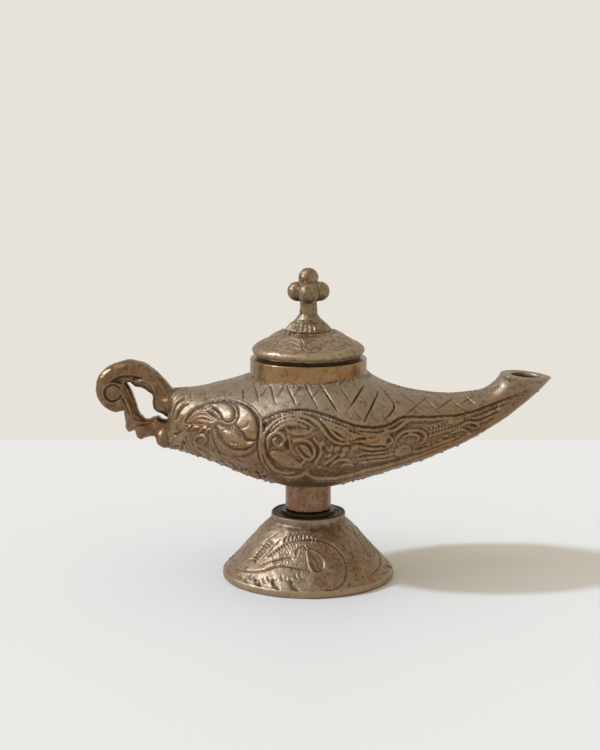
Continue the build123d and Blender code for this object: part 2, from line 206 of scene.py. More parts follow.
def aged_metal(
    name,
    body="#8B7457",
    warm="#865F42",
    worn="#B39670",
    dark="#382B1F",
    shoulder=None,
    grain_mm=0.45,
    specks=0.56,
    polish=0.0,
    sandiness=0.6,
):
    """Metal cast in sand, darkened by age and polished by handling.

    With brass colours the eye gets a grey-brown metal with a soft broad shine, coppery and dark
    blotches, sandy specks, small pits, brighter edges and nearly black hollows. A shoulder colour lies
    on what stands above the bowl's ornament. The sand's grit is about 0.2 mm, and is drawn as coarse
    as grain_mm so that it shows."""
    material, tree = new_material(name)
    place = add_node(tree, "ShaderNodeTexCoord").outputs["Object"]
    recess = add_node(tree, "ShaderNodeAttribute", attribute_name="recess").outputs["Fac"]
    noise = {}
    for width_mm in (blotch_mm, cloud_mm, stain_mm, shine_mm, speck_mm, grain_mm):
        noise[width_mm] = add_node(
            tree,
            "ShaderNodeTexNoise",
            {"Vector": place, "Scale": 1 / (width_mm * MM), "Detail": 4.0, "Roughness": 0.55},
        ).outputs["Fac"]
    holes = add_node(tree, "ShaderNodeTexVoronoi", {"Vector": place, "Scale": 1 / (pit_spacing_mm * MM)})
    hole = add_node(
        tree,
        "ShaderNodeMapRange",
        {"Value": holes.outputs["Distance"], "From Min": 0.20, "From Max": 0.10},
    )
    hole_place = add_node(
        tree, "ShaderNodeMapRange", {"Value": noise[cloud_mm], "From Min": 0.53, "From Max": 0.60}
    )
    pit = add_node(
        tree,
        "ShaderNodeMath",
        {0: hole.outputs["Result"], 1: hole_place.outputs["Result"]},
        operation="MULTIPLY",
    ).outputs[0]
    grime = add_node(
        tree,
        "ShaderNodeMapRange",
        {"Value": recess, "From Min": 0.04, "From Max": 0.34, "To Max": 0.8},
    ).outputs["Result"]
    layers = [
        (noise[blotch_mm], 0.47, 0.66, 0.75, warm),
        (noise[cloud_mm], 0.50, 0.70, 0.35, worn),
        (noise[stain_mm], 0.52, 0.70, 0.55, dark),
        (noise[speck_mm], specks, specks + 0.1, 0.45, dark),
        (recess, -0.04, -0.32, 0.30, worn),
        (grime, 0, 1, 1, dark),
        (pit, 0, 1, 0.6, dark),
    ]
    # The shoulder colour: the bowl's upper part greyer and paler, partly its own tone and partly painted
    # sheen where the light from above falls.
    if shoulder:
        part = add_node(tree, "ShaderNodeSeparateXYZ", {"Vector": place}).outputs
        side = add_node(tree, "ShaderNodeMath", {0: part["X"]}, operation="ABSOLUTE").outputs[0]
        level = add_node(tree, "ShaderNodeMath", {0: side, 1: -0.12, 2: part["Z"]}, operation="MULTIPLY_ADD")
        layers.insert(1, (level.outputs[0], 66 * MM, 74 * MM, 0.85, shoulder))
    colour = linear(body)
    for value, low, high, most, tint in layers:
        share = add_node(
            tree, "ShaderNodeMapRange", {"Value": value, "From Min": low, "From Max": high, "To Max": most}
        )
        colour = add_node(
            tree,
            "ShaderNodeMix",
            {0: share.outputs["Result"], 6: colour, 7: linear(tint)},
            data_type="RGBA",
        ).outputs[2]
    shine = add_node(
        tree,
        "ShaderNodeMapRange",
        {
            "Value": noise[shine_mm],
            "From Min": 0.38,
            "From Max": 0.68,
            "To Min": 0.34 - polish,
            "To Max": 0.47 - polish,
        },
    )
    rough = add_node(
        tree, "ShaderNodeMath", {0: grime, 1: 0.25, 2: shine.outputs["Result"]}, operation="MULTIPLY_ADD"
    )
    metal = add_node(tree, "ShaderNodeMapRange", {"Value": grime, "To Min": 0.88, "To Max": 0.5})
    height = add_node(tree, "ShaderNodeMath", {0: pit, 1: -0.9, 2: noise[grain_mm]}, operation="MULTIPLY_ADD")
    bump = add_node(
        tree,
        "ShaderNodeBump",
        {"Height": height.outputs[0], "Strength": sandiness, "Distance": grit_depth_mm * MM},
    )
    shader = add_node(
        tree,
        "ShaderNodeBsdfPrincipled",
        {
            "Base Color": colour,
            "Metallic": metal.outputs["Result"],
            "Roughness": rough.outputs[0],
            "Normal": bump.outputs["Normal"],
        },
    )
    add_node(tree, "ShaderNodeOutputMaterial", {"Surface": shader.outputs["BSDF"]})
    return material


# Sand-cast brass that has gone dull: brown in the ornament; grey and paler on the bowl's shoulder, partly its
# own smoother finish and partly painted sheen of the light from above.
bowl_brass = aged_metal("aged_cast_brass", body="#8A7054", shoulder="#8F7F69", polish=-0.04)

# The same brass where hands have smoothed it: darker and browner, with fewer specks.
handle_brass = aged_metal(
    "dark_cast_brass",
    body="#765B41",
    warm="#765137",
    worn="#B09370",
    specks=0.62,
    polish=0.05,
    sandiness=0.35,
)

# Cast brass rubbed pale by wiping, with faint coppery blotches.
foot_brass = aged_metal(
    "rubbed_cast_brass", body="#907B60", worn="#B3A083", grain_mm=0.4, polish=-0.03, sandiness=0.45
)

# Cast brass greyed by dust, the palest of the lamp.
lid_brass = aged_metal(
    "grey_cast_brass", body="#9A866B", worn="#BBA88A", grain_mm=0.4, polish=-0.03, sandiness=0.5
)

# Rough cast brass thick with dark specks.
finial_brass = aged_metal("speckled_cast_brass", body="#8A765B", worn="#B49F80", specks=0.50)

# Lathe-turned brass: smoother and more golden, with a tighter shine.
turned_brass = aged_metal(
    "turned_brass",
    body="#94754F",
    warm="#8C633E",
    grain_mm=0.3,
    specks=0.60,
    polish=0.09,
    sandiness=0.2,
)

# Turned brass that heat has reddened: pinkish copper tones.
stem_brass = aged_metal(
    "coppery_brass",
    body="#80614A",
    warm="#865C45",
    worn="#A98766",
    grain_mm=0.35,
    polish=0.1,
    sandiness=0.25,
)

# Brass painted nearly black brown as painted shade: the lid's sleeve shows only in the shadowed gap under the
# lid's rim.
sleeve_shade_brass = aged_metal("shaded_sleeve_brass", body="#3B3023", warm="#33281D", worn="#5A4A36", dark="#1D1711")

# Brass under verdigris and dirt: dull dark green.
verdigris = aged_metal("verdigris_brass", body="#4A4A3A", warm="#443A2D", worn="#5E6A55", dark="#26241C")

# Plain steel gone dull: grey with brown stains.
steel = aged_metal("dull_steel", body="#6A6862", warm="#6A5F55", worn="#8C8A84", dark="#2B2622", grain_mm=0.3)


# Mesh building


def add_piece(name, points, faces, material, body, replaces=(), recess=None, caps=()):
    """A smooth-shaded mesh from points in mm, quads and flat caps, riding on its body."""
    corners = np.concatenate([np.asarray(faces).ravel()] + [np.asarray(cap) for cap in caps])
    sizes = np.concatenate([np.full(len(faces), 4), [len(cap) for cap in caps]]).astype(np.int32)
    mesh = bpy.data.meshes.new(name)
    mesh.vertices.add(len(points))
    mesh.vertices.foreach_set("co", (np.asarray(points) * MM).astype(np.float32).ravel())
    mesh.loops.add(len(corners))
    mesh.loops.foreach_set("vertex_index", corners.astype(np.int32))
    mesh.polygons.add(len(sizes))
    mesh.polygons.foreach_set("loop_start", (np.cumsum(sizes) - sizes).astype(np.int32))
    mesh.polygons.foreach_set("loop_total", sizes)
    mesh.update(calc_edges=True)
    mesh.validate()
    mesh.polygons.foreach_set("use_smooth", np.ones(len(mesh.polygons), bool))
    mesh.set_sharp_from_angle(angle=math.radians(60))
    if recess is not None:
        attribute = mesh.attributes.new("recess", "FLOAT", "POINT")
        attribute.data.foreach_set("value", recess.astype(np.float32))
    mesh.materials.append(material)
    piece = bpy.data.objects.new(name, mesh)
    bpy.context.scene.collection.objects.link(piece)
    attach(piece, body)
    if replaces:
        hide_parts(*replaces)
    return piece


def grid_faces(columns, rows, first=0):
    """Quads of a grid of columns by rows points, numbered along each column."""
    corner = first + np.arange((columns - 1) * rows).reshape(columns - 1, rows)[:, :-1].ravel()
    return np.stack([corner, corner + 1, corner + rows + 1, corner + rows], -1)


def vertex_normals(points, faces):
    """Unit normals of a mesh of quads or triangles."""
    quads = np.asarray(faces)
    normal = np.cross(points[quads[:, 2]] - points[quads[:, 0]], points[quads[:, -1]] - points[quads[:, 1]])
    total = np.zeros_like(points)
    for k in range(quads.shape[1]):
        np.add.at(total, quads[:, k], normal)
    return total / np.maximum(np.linalg.norm(total, axis=1), 1e-12)[:, None]


def hollowness(points, faces, passes=12):
    """How far in mm each vertex lies below the smoothed skin; raised places are negative."""
    quads = np.asarray(faces)
    ends = np.concatenate([quads[:, [k, (k + 1) % quads.shape[1]]] for k in range(quads.shape[1])])
    count = np.bincount(ends.ravel(), minlength=len(points)).astype(float)
    smooth = points.copy()
    for _ in range(passes):
        total = np.zeros_like(points)
        for axis in range(3):
            total[:, axis] = np.bincount(
                ends[:, 0], smooth[ends[:, 1], axis], len(points)
            ) + np.bincount(ends[:, 1], smooth[ends[:, 0], axis], len(points))
        smooth = np.where(count[:, None] > 0, total / np.maximum(count, 1)[:, None], smooth)
    return ((smooth - points) * vertex_normals(points, quads)).sum(1)


# Carving, with the dirt in its hollows as the recess that the finishes read
bowl_dirt, engraved_dirt, deep_dirt, worn_edge = 0.12, 0.15, 0.3, -0.2
# Within this many mm of an edge that meets another piece there is no ornament.
plain_edge = 0.3


def curve_through(points, closed=False, step=0.35):
    """Points along a Catmull-Rom curve through given points, about a step apart."""
    p = np.asarray(points, float)
    ends = (p[-1:], p[:1]) if closed else (2 * p[:1] - p[1:2], 2 * p[-1:] - p[-2:-1])
    p = np.concatenate([ends[0], p, ends[1]] + ([p[1:2]] if closed else []))
    made = []
    for a, b, c, d in zip(p, p[1:], p[2:], p[3:]):
        count = max(2, int(np.linalg.norm(c - b) / step))
        t = np.linspace(0, 1, count, endpoint=False)[:, None]
        made.append(b + t / 2 * (c - a + t * (2 * a - 5 * b + 4 * c - d + t * (3 * (b - c) + d - a))))
    return np.concatenate(made + [p[-2:-1]])


def lumps(points, size, seed, waves=24):
    """Smooth random lumps about this wide in mm, mostly between -1 and 1."""
    random = np.random.default_rng(seed)
    wave = random.normal(size=(waves, 3))
    wave *= (2 * np.pi / size * random.uniform(0.7, 1.3, waves) / np.linalg.norm(wave, axis=1))[:, None]
    return np.cos(points @ wave.T + random.uniform(0, 2 * np.pi, waves)).sum(1) / math.sqrt(waves)


class Relief:
    """The height in mm that ornament adds to a skin at each of its vertices.

    Copies are turns or mirrorings of the skin, and each carries the ornament once."""

    def __init__(self, points, normals, faces, copies=(np.eye(3),)):
        self.points = points
        self.normals = normals
        self.height = np.zeros(len(points))
        self.ground = np.zeros(len(points))
        self.views = []
        for turn in copies:
            turned = points @ turn
            facing = ((eye - turned) * (normals @ turn)).sum(1) > 0
            self.views.append((turned, to_pixels(turned), facing))
        self.tree = BVHTree.FromPolygons(
            [Vector(p) for p in points], [list(map(int, f)) for f in faces]
        )

    def lay(self, pixels, closed=False):
        """A smooth path through pixels of the photograph, laid on the skin."""
        path = curve_through(pixels, closed, 1.0)
        hits = [self.tree.ray_cast(Vector(eye), Vector(pixel_ray(*p)))[0] for p in path]
        return np.array([h for h in hits if h is not None])

    def shifted(self, pixels, x, y):
        """A laid path, moved across the photograph by this many pixels."""
        return self.lay([(p[0] + x, p[1] + y) for p in pixels])

    def measure(self, path, reach, view):
        """The vertices within reach of a path, their distance, and how far along it they are."""
        low, high = path.min(0) - reach, path.max(0) + reach
        near = np.flatnonzero(((view[0] > low) & (view[0] < high)).all(1))
        a, ab = path[:-1], np.diff(path, axis=0)
        length = np.linalg.norm(ab, axis=1)
        start = np.concatenate([[0], np.cumsum(length)[:-1]])
        best = np.full(len(near), np.inf)
        along = np.zeros(len(near))
        p = view[0][near]
        for k in range(len(a)):
            offset = p - a[k]
            t = np.clip(offset @ ab[k] / max(length[k] ** 2, 1e-12), 0, 1)
            distance = np.linalg.norm(offset - t[:, None] * ab[k], axis=1)
            closer = distance < best
            best[closer] = distance[closer]
            along[closer] = start[k] + t[closer] * length[k]
        kept = best < reach
        return near[kept], best[kept], along[kept], length.sum()

    def stroke(self, path, width, height, ends=(1.0, 1.0), bead=0.0, sharp=False):
        """A raised cord, or a groove where height is negative, width mm across. Ends are the shares
        of the width left at its two ends, and bead is the pitch of beads along it. A path that
        misses the skin leaves no mark."""
        if len(path) < 2:
            return
        half = width / 2
        for view in self.views:
            near, distance, along, length = self.measure(path, half, view)
            t = along / max(length, 1e-9)
            swell = np.minimum(
                ends[0] + (1 - ends[0]) * np.sqrt(np.clip(t / 0.4, 0, 1)),
                ends[1] + (1 - ends[1]) * np.sqrt(np.clip((1 - t) / 0.4, 0, 1)),
            )
            across = distance / np.maximum(half * swell, 1e-6)
            inside = across < 1
            near, across, along, swell = near[inside], across[inside], along[inside], swell[inside]
            profile = (1 - across) if sharp else np.sqrt(1 - across**2)
            profile *= 0.4 + 0.6 * swell
            if bead:
                profile *= 0.55 + 0.45 * np.cos(2 * np.pi * along / bead)
            if height > 0:
                self.height[near] = np.maximum(self.height[near], self.ground[near] + height * profile)
            else:
                self.height[near] += height * profile

    def draw(self, paths, *shape, **settings):
        """One stroke along each path of pixels."""
        for pixels in paths:
            self.stroke(self.lay(pixels), *shape, **settings)

    def covered(self, pixels, view):
        """Which facing vertices show inside a closed path of pixels."""
        outline = curve_through(pixels, True, 1.0)
        x, y = view[1].T
        inside = np.zeros(len(x), bool)
        low, high = outline.min(0), outline.max(0)
        near = np.flatnonzero(view[2] & (x > low[0]) & (x < high[0]) & (y > low[1]) & (y < high[1]))
        crossed = np.zeros(len(near), bool)
        for (ax, ay), (bx, by) in zip(outline, np.roll(outline, -1, 0)):
            spans = (ay > y[near]) != (by > y[near])
            at = ax + (y[near] - ay) / (by - ay + 1e-12) * (bx - ax)
            crossed ^= spans & (x[near] < at)
        inside[near] = crossed
        return np.flatnonzero(inside)

    def depth_inside(self, pixels, edge):
        """For each copy, the vertices inside a closed path and how deep in, up to the edge's width."""
        path = self.lay(list(pixels) + [pixels[0]])
        for view in self.views:
            inside = self.covered(pixels, view)
            near, distance, _, _ = self.measure(path, edge, view)
            depth = np.full(len(self.points), edge)
            depth[near] = distance
            yield inside, depth[inside] / edge

    def patch(self, pixels, height, edge):
        """A raised pillow inside a closed path, its rounded edge this wide in mm."""
        for inside, depth in self.depth_inside(pixels, edge):
            value = self.ground[inside] + height * np.sqrt(1 - (1 - depth) ** 2)
            self.height[inside] = np.maximum(self.height[inside], value)

    def sink(self, pixels, deep, edge):
        """Lowers the ground inside a closed path."""
        for inside, depth in self.depth_inside(pixels, edge):
            self.ground[inside] -= deep * depth
            self.height[inside] = self.ground[inside]

    def grain(self, pixels, height, size):
        """A rough ground inside a closed path."""
        for view in self.views:
            inside = self.covered(pixels, view)
            self.height[inside] += height * lumps(self.points[inside], size, 3)

    def dirt(self):
        """How much dirt lies on sunken ground and in cut lines, from 0 to 1."""
        bare = np.clip(1 - (self.height - self.ground) / 0.4, 0, 1)
        sunken = np.clip(-self.ground / 0.4, 0, 1) * bare
        cut = np.clip((self.ground - self.height) / 0.5, 0, 1)
        return np.maximum(0.5 * sunken, cut)

    def carved(self):
        """The skin's points with the ornament on them."""
        return self.points + self.normals * self.height[:, None]


# Bowl: the same rib table as the solid's, in shares of its reaches, rise and half width.
spout_reach, back_reach = 101.3, 60.3
bowl_half_width, bowl_base_height, bowl_rise, bowl_wall = 38.0, 39.4, 54.2, 2.2
rib_shares = [
    (-0.945, 0.755, -1.000, 0.300, 0.235, 0.50, 0.60, 0.60),
    (-0.796, 0.763, -0.829, 0.257, 0.434, 0.50, 0.58, 0.58),
    (-0.597, 0.805, -0.614, 0.179, 0.684, 0.50, 0.56, 0.56),
    (-0.398, 0.868, -0.398, 0.087, 0.868, 0.51, 0.55, 0.55),
    (-0.166, 0.971, -0.166, 0.015, 0.974, 0.53, 0.55, 0.55),
    (0.040, 1.000, 0.040, 0.000, 1.000, 0.54, 0.55, 0.55),
    (0.178, 0.952, 0.188, 0.050, 0.947, 0.53, 0.55, 0.55),
    (0.296, 0.818, 0.316, 0.119, 0.816, 0.50, 0.55, 0.55),
    (0.415, 0.747, 0.444, 0.190, 0.632, 0.48, 0.55, 0.55),
    (0.533, 0.716, 0.582, 0.288, 0.461, 0.46, 0.55, 0.55),
    (0.642, 0.721, 0.701, 0.391, 0.337, 0.45, 0.55, 0.55),
    (0.721, 0.752, 0.805, 0.513, 0.258, 0.45, 0.55, 0.55),
    (0.762, 0.803, 0.888, 0.635, 0.237, 0.46, 0.55, 0.53),
    (0.782, 0.845, 0.953, 0.742, 0.250, 0.44, 0.56, 0.48),
    (0.790, 0.871, 1.000, 0.840, 0.276, 0.42, 0.58, 0.42),
]
collar_seat_height, neck_boss_base, neck_bore_radius, neck_boss_radius = 85.6, 80.6, 20.2, 26.9
stem_pad_height, stem_pad_radius = 44.2, 13.0
wick_hole_radius, wick_hole_depth = 6.2, 6.0
lip_swell, lip_fullness = 0.5, 0.6
end_round, end_half_width = 3.5, 9.0
neck_cut_margin, neck_cut_base = 0.7, 75.0
neck_beads_radius, neck_beads_width, neck_beads_base = 25.6, 1.3, 80.0
rough_keel_share, rough_keel_fade_share = 0.83, 0.08
bare_keel_reach, rough_keel_end, rough_keel_fade = 14.0, 78.0, 15.0
coarse_columns, coarse_rows, fine = 112, 46, 4
survey_columns, survey_rows = 1201, 41


def rib_at(places):
    """The ribs at places counted in rows, on the solid's own smooth cubic."""
    table = np.array(rib_shares)
    table = np.concatenate([2 * table[:1] - table[1:2], table, 2 * table[-1:] - table[-2:-1]])
    index = np.minimum(places.astype(int), len(rib_shares) - 2)
    step = (places - index)[:, None]
    p, a, b, n = (table[index + k] for k in range(4))
    bend = 2 * p - 5 * a + 4 * b - n + step * (3 * (a - b) + n - p)
    return a + step / 2 * (b - p + step * bend)


def bezier(points, steps):
    """Points along the cubic curve that four control points give."""
    t = np.linspace(0, 1, steps)[:, None]
    a, b, c, d = (np.array(p, float) for p in points)
    return (1 - t) ** 3 * a + 3 * t * (1 - t) ** 2 * b + 3 * t**2 * (1 - t) * c + t**3 * d


def half_sections(places, inset, rows):
    """The near half of the bowl's skin: for each place, rows points from crown to keel."""
    made = []
    for rib in rib_at(places):
        ends = []
        for x_share, z_share in (rib[0:2], rib[2:4]):
            reach = spout_reach if x_share > 0 else back_reach
            ends.append(np.array([x_share * reach, 0, bowl_base_height + z_share * bowl_rise]))
        crown, keel = ends
        inward = (keel - crown) / np.linalg.norm(keel - crown)
        crown, keel = crown + inward * inset, keel - inward * inset
        width = rib[4] * bowl_half_width - inset
        span = np.linalg.norm(keel - crown)
        top, drop = span * rib[5], span * (1 - rib[5])
        upper, lower = rib[6], rib[7]
        side = np.concatenate(
            [
                bezier([(0, top), (-width * upper, top), (-width, top * upper), (-width, 0)], 60),
                bezier([(-width, 0), (-width, -drop * lower), (-width * lower, -drop), (0, -drop)], 60)[1:],
            ]
        )
        length = np.concatenate([[0], np.cumsum(np.linalg.norm(np.diff(side, axis=0), axis=1))])
        wanted = np.linspace(0, length[-1], rows)
        across, up = (np.interp(wanted, length, side[:, k]) for k in (0, 1))
        middle = crown + inward * top
        made.append(middle - np.outer(up, inward) + np.outer(across, [0, 1, 0]))
    return np.array(made)


# Ornament of the bowl: each path is in the photograph's pixels.
rope_line = [
    (184, 421), (188, 414), (193.5, 408.5), (202, 404.5), (210, 401.3), (219.5, 399.6), (228, 399.2),
    (237, 400), (245, 403.4), (251.3, 407.3), (255.5, 411.5), (258.7, 415.8), (261.8, 421),
]
rope_wave = [
    (262.5, 421), (270.8, 416.8), (280, 413.3), (290, 411.4), (300, 410.6), (311, 411.5), (322, 414.7),
    (333, 418.4), (343.5, 422.6), (354, 426.2), (364.5, 428.2), (375, 428.6), (384.5, 427.2),
    (393, 424), (399, 419.8), (406, 417.4), (418, 417.6), (431, 417.6), (444.5, 416.8), (457.5, 416.6),
    (467, 414.4), (477, 411.6), (488.5, 406.9), (499, 403), (509, 399.3), (519, 395.8), (528, 391.5),
]
border_line = [
    (271.5, 467.5), (277.8, 473), (285, 476.6), (294, 477.4), (301.3, 475.9), (306, 473.2), (312.3, 477.2),
    (321.7, 478.5), (337.3, 478), (353, 474.3), (364, 470.6), (384.3, 465.8), (400, 461.2), (414, 456.6),
    (428, 451.8), (441.5, 446.4), (454.7, 441.3), (465, 436.6), (477, 430.6), (488.5, 424.4), (497, 418.5),
]
left_ground = rope_line + [
    (258, 430), (257, 445), (259, 456), (262, 466), (250, 465), (236, 461), (221, 456), (206, 449),
    (194, 443), (187, 434),
]
middle_ground = rope_wave[1:-3] + [(497, 414)] + border_line[-2::-1] + [
    (266, 459), (264, 450), (263.6, 440), (265, 431), (266, 424),
]


def carve_ground(relief):
    """The sunk fields of the medallions, with the band left between them."""
    relief.sink(left_ground, 0.45, 1.0)
    relief.sink(middle_ground, 0.5, 1.0)
    for path in (left_ground, middle_ground):
        relief.grain(path, 0.10, 1.1)


def carve_left_medallion(relief):
    """A striped fan leaf, a teardrop, a comma lobe and an almond leaf round the medallion's heart."""
    fan = [
        (219, 422.6), (216.7, 418.7), (212, 414.8), (207.3, 409.8), (202.6, 408.5), (197.1, 410.1),
        (191.6, 414), (187, 418.7), (185, 423.4), (193.2, 423.2), (199.5, 423), (205.7, 424.6),
        (212, 425.8),
    ]
    thin_leaf = [(209.6, 407.7), (216.7, 411), (220.4, 416.3), (220, 421.8), (218, 417.5), (213, 412.4)]
    teardrop = [
        (209.6, 404.9), (215.1, 403.4), (223, 402.9), (229.6, 404.8), (233.2, 408.7), (234.2, 414.8),
        (231.6, 420), (227.7, 421.6), (223.6, 420.3), (221, 415.5), (217, 410.3), (212.4, 407),
    ]
    comma = [
        (236.5, 402.9), (243, 405), (249.5, 409.6), (254.2, 416), (256.2, 423), (257, 431),
        (256.8, 438.6), (251.4, 440), (247, 438.4), (243.8, 433.4), (240, 430), (236, 426.6),
        (235.8, 422.8), (238.2, 418.4), (238.8, 412.8), (237.4, 407.8),
    ]
    almond = [
        (217.4, 425), (218.4, 431), (221.6, 437.6), (226.6, 443.4), (232.6, 447.2), (240, 448.8),
        (248, 447), (253.6, 443.6), (256.8, 441), (252, 441.6), (246.6, 442.2), (241.8, 438),
        (235.5, 432), (227.7, 427.6),
    ]
    heart = [
        (224, 432), (228, 432), (233.9, 435.1), (238.6, 438.6), (240.6, 442.4), (235.5, 442),
        (229.4, 439.2), (225.4, 436),
    ]
    crescent = [
        (212.4, 427.3), (212.8, 436.7), (216.7, 445.9), (223, 452.6), (232.4, 455.9), (241.8, 455.9),
        (249.6, 452.8), (254.3, 447.9), (256.4, 444.6), (249, 449.6), (241, 451.6), (232.4, 450.2),
        (224.8, 445.8), (219, 439), (215.8, 432),
    ]
    outer_leaf = [
        (211, 428.5), (208.6, 436.7), (208.6, 446.1), (211.6, 453.9), (217.6, 459.8), (225.7, 463.6),
        (231, 462.4), (223.6, 458.4), (216.4, 451.2), (212.4, 441), (211.6, 433),
    ]
    lower_leaf = [
        (235, 458), (243, 458.4), (251, 456), (257, 451.5), (259.4, 458), (262, 464.4), (254, 465.4),
        (245, 463.4),
    ]
    for outline, height in (
        (fan, 0.75),
        (thin_leaf, 0.7),
        (teardrop, 1.15),
        (comma, 1.2),
        (outer_leaf, 0.65),
        (crescent, 0.85),
        (almond, 1.0),
        (lower_leaf, 0.45),
    ):
        relief.patch(outline, height, 1.5)
    relief.patch(heart, 1.25, 1.0)
    veins = (
        [(188.5, 420.6), (196.3, 415.4), (204.2, 414.2), (210.4, 416.5), (215.1, 420.3), (218, 422.4)],
        [(193, 414.6), (198.4, 411.6), (205, 410.6), (210.8, 413.2), (216.2, 418.9)],
        [(190, 423), (197.9, 419.4), (205.7, 419.2), (213.6, 421.9)],
        [(222.6, 431), (223.8, 436.6), (229, 441.2), (235.5, 443.6), (241.8, 443.6)],
        [(222.6, 430), (229, 430.2), (235.5, 433.5), (240.2, 437.6), (243, 441.6)],
        [(214, 431), (215.6, 438.6), (220.4, 446.6), (228, 452), (236.4, 454), (245, 452.6)],
        [(220, 427.6), (220.6, 434), (225, 440.2), (231.6, 444.8), (239.6, 446.2), (247, 444.6)],
        [(210.4, 434), (210.6, 443), (213.6, 451), (219, 457), (226, 461)],
        [(235.5, 426), (240.2, 428.4), (244.9, 427.8), (248.2, 425.4), (249.4, 422.2)],
        [(237.1, 460.4), (241.6, 461.2), (246.5, 463.6)],
    )
    relief.draw(veins, 0.95, -0.45, (0.4, 0.4))
    swirls = (
        [(194, 440), (197.1, 436.4), (202, 435.8), (205.6, 438.6), (204.6, 443)],
        [(194.4, 442), (197.4, 447.4), (203.4, 452.2), (210.4, 456.2)],
        [(188, 439), (191.6, 444.4), (197, 449.2), (203, 453)],
        [(190, 430.6), (194.4, 427.4), (199, 427.6)],
        [(198.4, 432.6), (202, 428.6), (206.6, 428.2)],
        [(186.8, 428.6), (190.4, 426.2)],
        [(205, 433.6), (207.6, 430.2), (211, 428.8)],
    )
    relief.draw(swirls, 1.5, 0.75, (0.6, 0.5))
    chains = (
        [(230, 403.8), (234.4, 406.9), (236.4, 411.6), (236.3, 416.6), (233.9, 421.4), (229.8, 423.6),
         (225, 423.2), (221.4, 421.4)],
        [(186, 425.2), (193.4, 424.8), (200, 424.8), (207, 426.4), (213, 427)],
    )
    relief.draw(chains, 0.9, 0.5, bead=1.1)


def carve_under_leaves(relief):
    """The rough leaves under the left medallion, down to the keel."""
    outline = [
        (170, 432), (184, 440), (198, 452), (212, 461), (230, 466), (250, 468), (262, 470), (266, 478),
        (250, 477), (232, 473), (212, 466), (192, 458), (174, 450), (166, 444),
    ]
    relief.grain(outline, 0.22, 2.4)
    leaves = (
        [(176, 441), (186, 447), (197, 455), (207, 461)],
        [(196, 458), (207, 463.4), (219, 467.6), (231, 470)],
        [(222, 467), (236, 469.6), (249, 472), (260, 475)],
        [(184, 438), (190, 447), (200, 454.4)],
    )
    relief.draw(leaves, 2.2, 0.7, (0.5, 0.4))
    for k in range(10):
        x, y = 178 + 8.6 * k, 443.5 + 3.1 * k
        relief.stroke(relief.lay([(x, y), (x + 3.4, y + 2.4), (x + 5.2, y + 6.4)]), 1.3, -0.5, (0.6, 0.4))


def carve_middle_medallion(relief):
    """Nested arcs over a crescent, two curls and a leaf, inside the second medallion."""
    arcs = (
        [(266, 432), (270.4, 426.4), (276.4, 420.9), (284.4, 417), (294, 415.4), (304, 416.2),
         (312.6, 419.6), (319, 424.6), (324.4, 431.6), (329.6, 438.2), (336, 442.6), (344, 444),
         (351, 442.8)],
        [(270.2, 431.6), (275.6, 426), (283, 421.6), (292, 419.6), (301.6, 420.6), (309, 424), (314, 428)],
        [(275.2, 431), (281.6, 426.6), (290, 423.8), (299, 424.4), (306.4, 427.2)],
        [(321.4, 419.4), (327, 424.8), (331.4, 430.6), (336.2, 436), (343, 439.8), (350, 440.6)],
    )
    relief.draw(arcs, 1.7, 0.95, (0.5, 0.4))
    crescent = [
        (284.4, 427.6), (291, 429.6), (299.7, 430.6), (308, 429.6), (314, 427.4), (311.6, 431.8),
        (306, 435), (298.6, 436.2), (291.6, 434.6), (286.6, 431.4),
    ]
    curl_leaf = [
        (268.4, 452.8), (274.7, 450.9), (282.5, 452.3), (290.3, 456.9), (296.6, 461.4), (300.6, 464.6),
        (303.4, 469), (295, 469.4), (287.2, 467.8), (279.4, 464.5), (272.6, 459.6),
    ]
    relief.patch(crescent, 0.7, 1.2)
    relief.patch(curl_leaf, 0.95, 1.5)
    curls = (
        [(267.8, 448), (267.4, 440.4), (271, 434.8), (277.4, 432.6), (282.6, 435.4), (284.6, 441),
         (281.6, 445.6), (276.2, 445.4), (273.6, 441.6), (275.6, 438.4)],
        [(293.6, 441.6), (299.4, 440.4), (306, 441), (311.4, 444.4), (314.4, 450), (314, 456),
         (309.6, 460), (303.8, 458.4), (299.6, 453.6), (296.4, 448.4)],
        [(314.6, 439.8), (319.3, 444.9), (321.2, 452.4), (317.9, 459.6), (315.6, 464.9), (320.1, 468.6)],
        [(287.2, 463.3), (295, 466.3), (301.3, 465), (305.4, 460.6)],
        [(263.8, 433), (262.6, 441.4), (263.4, 450.8), (266.4, 459.4), (271.6, 466.6), (278.4, 471.8),
         (286.6, 473.8), (295, 473.2)],
    )
    relief.draw(curls, 1.5, 0.9, (0.7, 0.6))
    inner_leaf = [
        (298.8, 445.8), (304, 445.2), (309, 448.6), (311.6, 454.2), (310.8, 457.2), (306.4, 455.4),
        (302, 450.6),
    ]
    relief.patch(inner_leaf, 0.85, 1.1)
    relief.stroke(relief.lay([(301, 446.8), (305.6, 449.6), (309.4, 454.6)]), 0.8, -0.35, (0.4, 0.4))
    veins = (
        [(271, 455), (277.4, 454.6), (284.4, 457.4), (291, 462), (297, 466)],
        [(276, 451.6), (284, 454.6), (291.4, 459.4), (298, 464.4)],
        [(287, 428.6), (294, 431.6), (302, 432.6), (310, 430.4)],
        [(273, 459), (280, 462.6), (288, 465.8)],
    )
    relief.draw(veins, 0.9, -0.45, (0.4, 0.4))
    hollows = ([(286, 443.4), (286.8, 447.8)], [(262.4, 426), (265.2, 424.4)])
    relief.draw(hollows, 2.4, -0.7)
    chains = (
        [(290.6, 438.6), (296, 438.9), (302, 438.6), (308.6, 437.4), (313, 434)],
        [(288.6, 437.4), (289.6, 441.6), (290, 447.4), (292.6, 452), (296, 456.4)],
        [(268, 449.4), (274, 448.6), (281, 449)],
    )
    relief.draw(chains, 1.0, 0.65, bead=1.15)


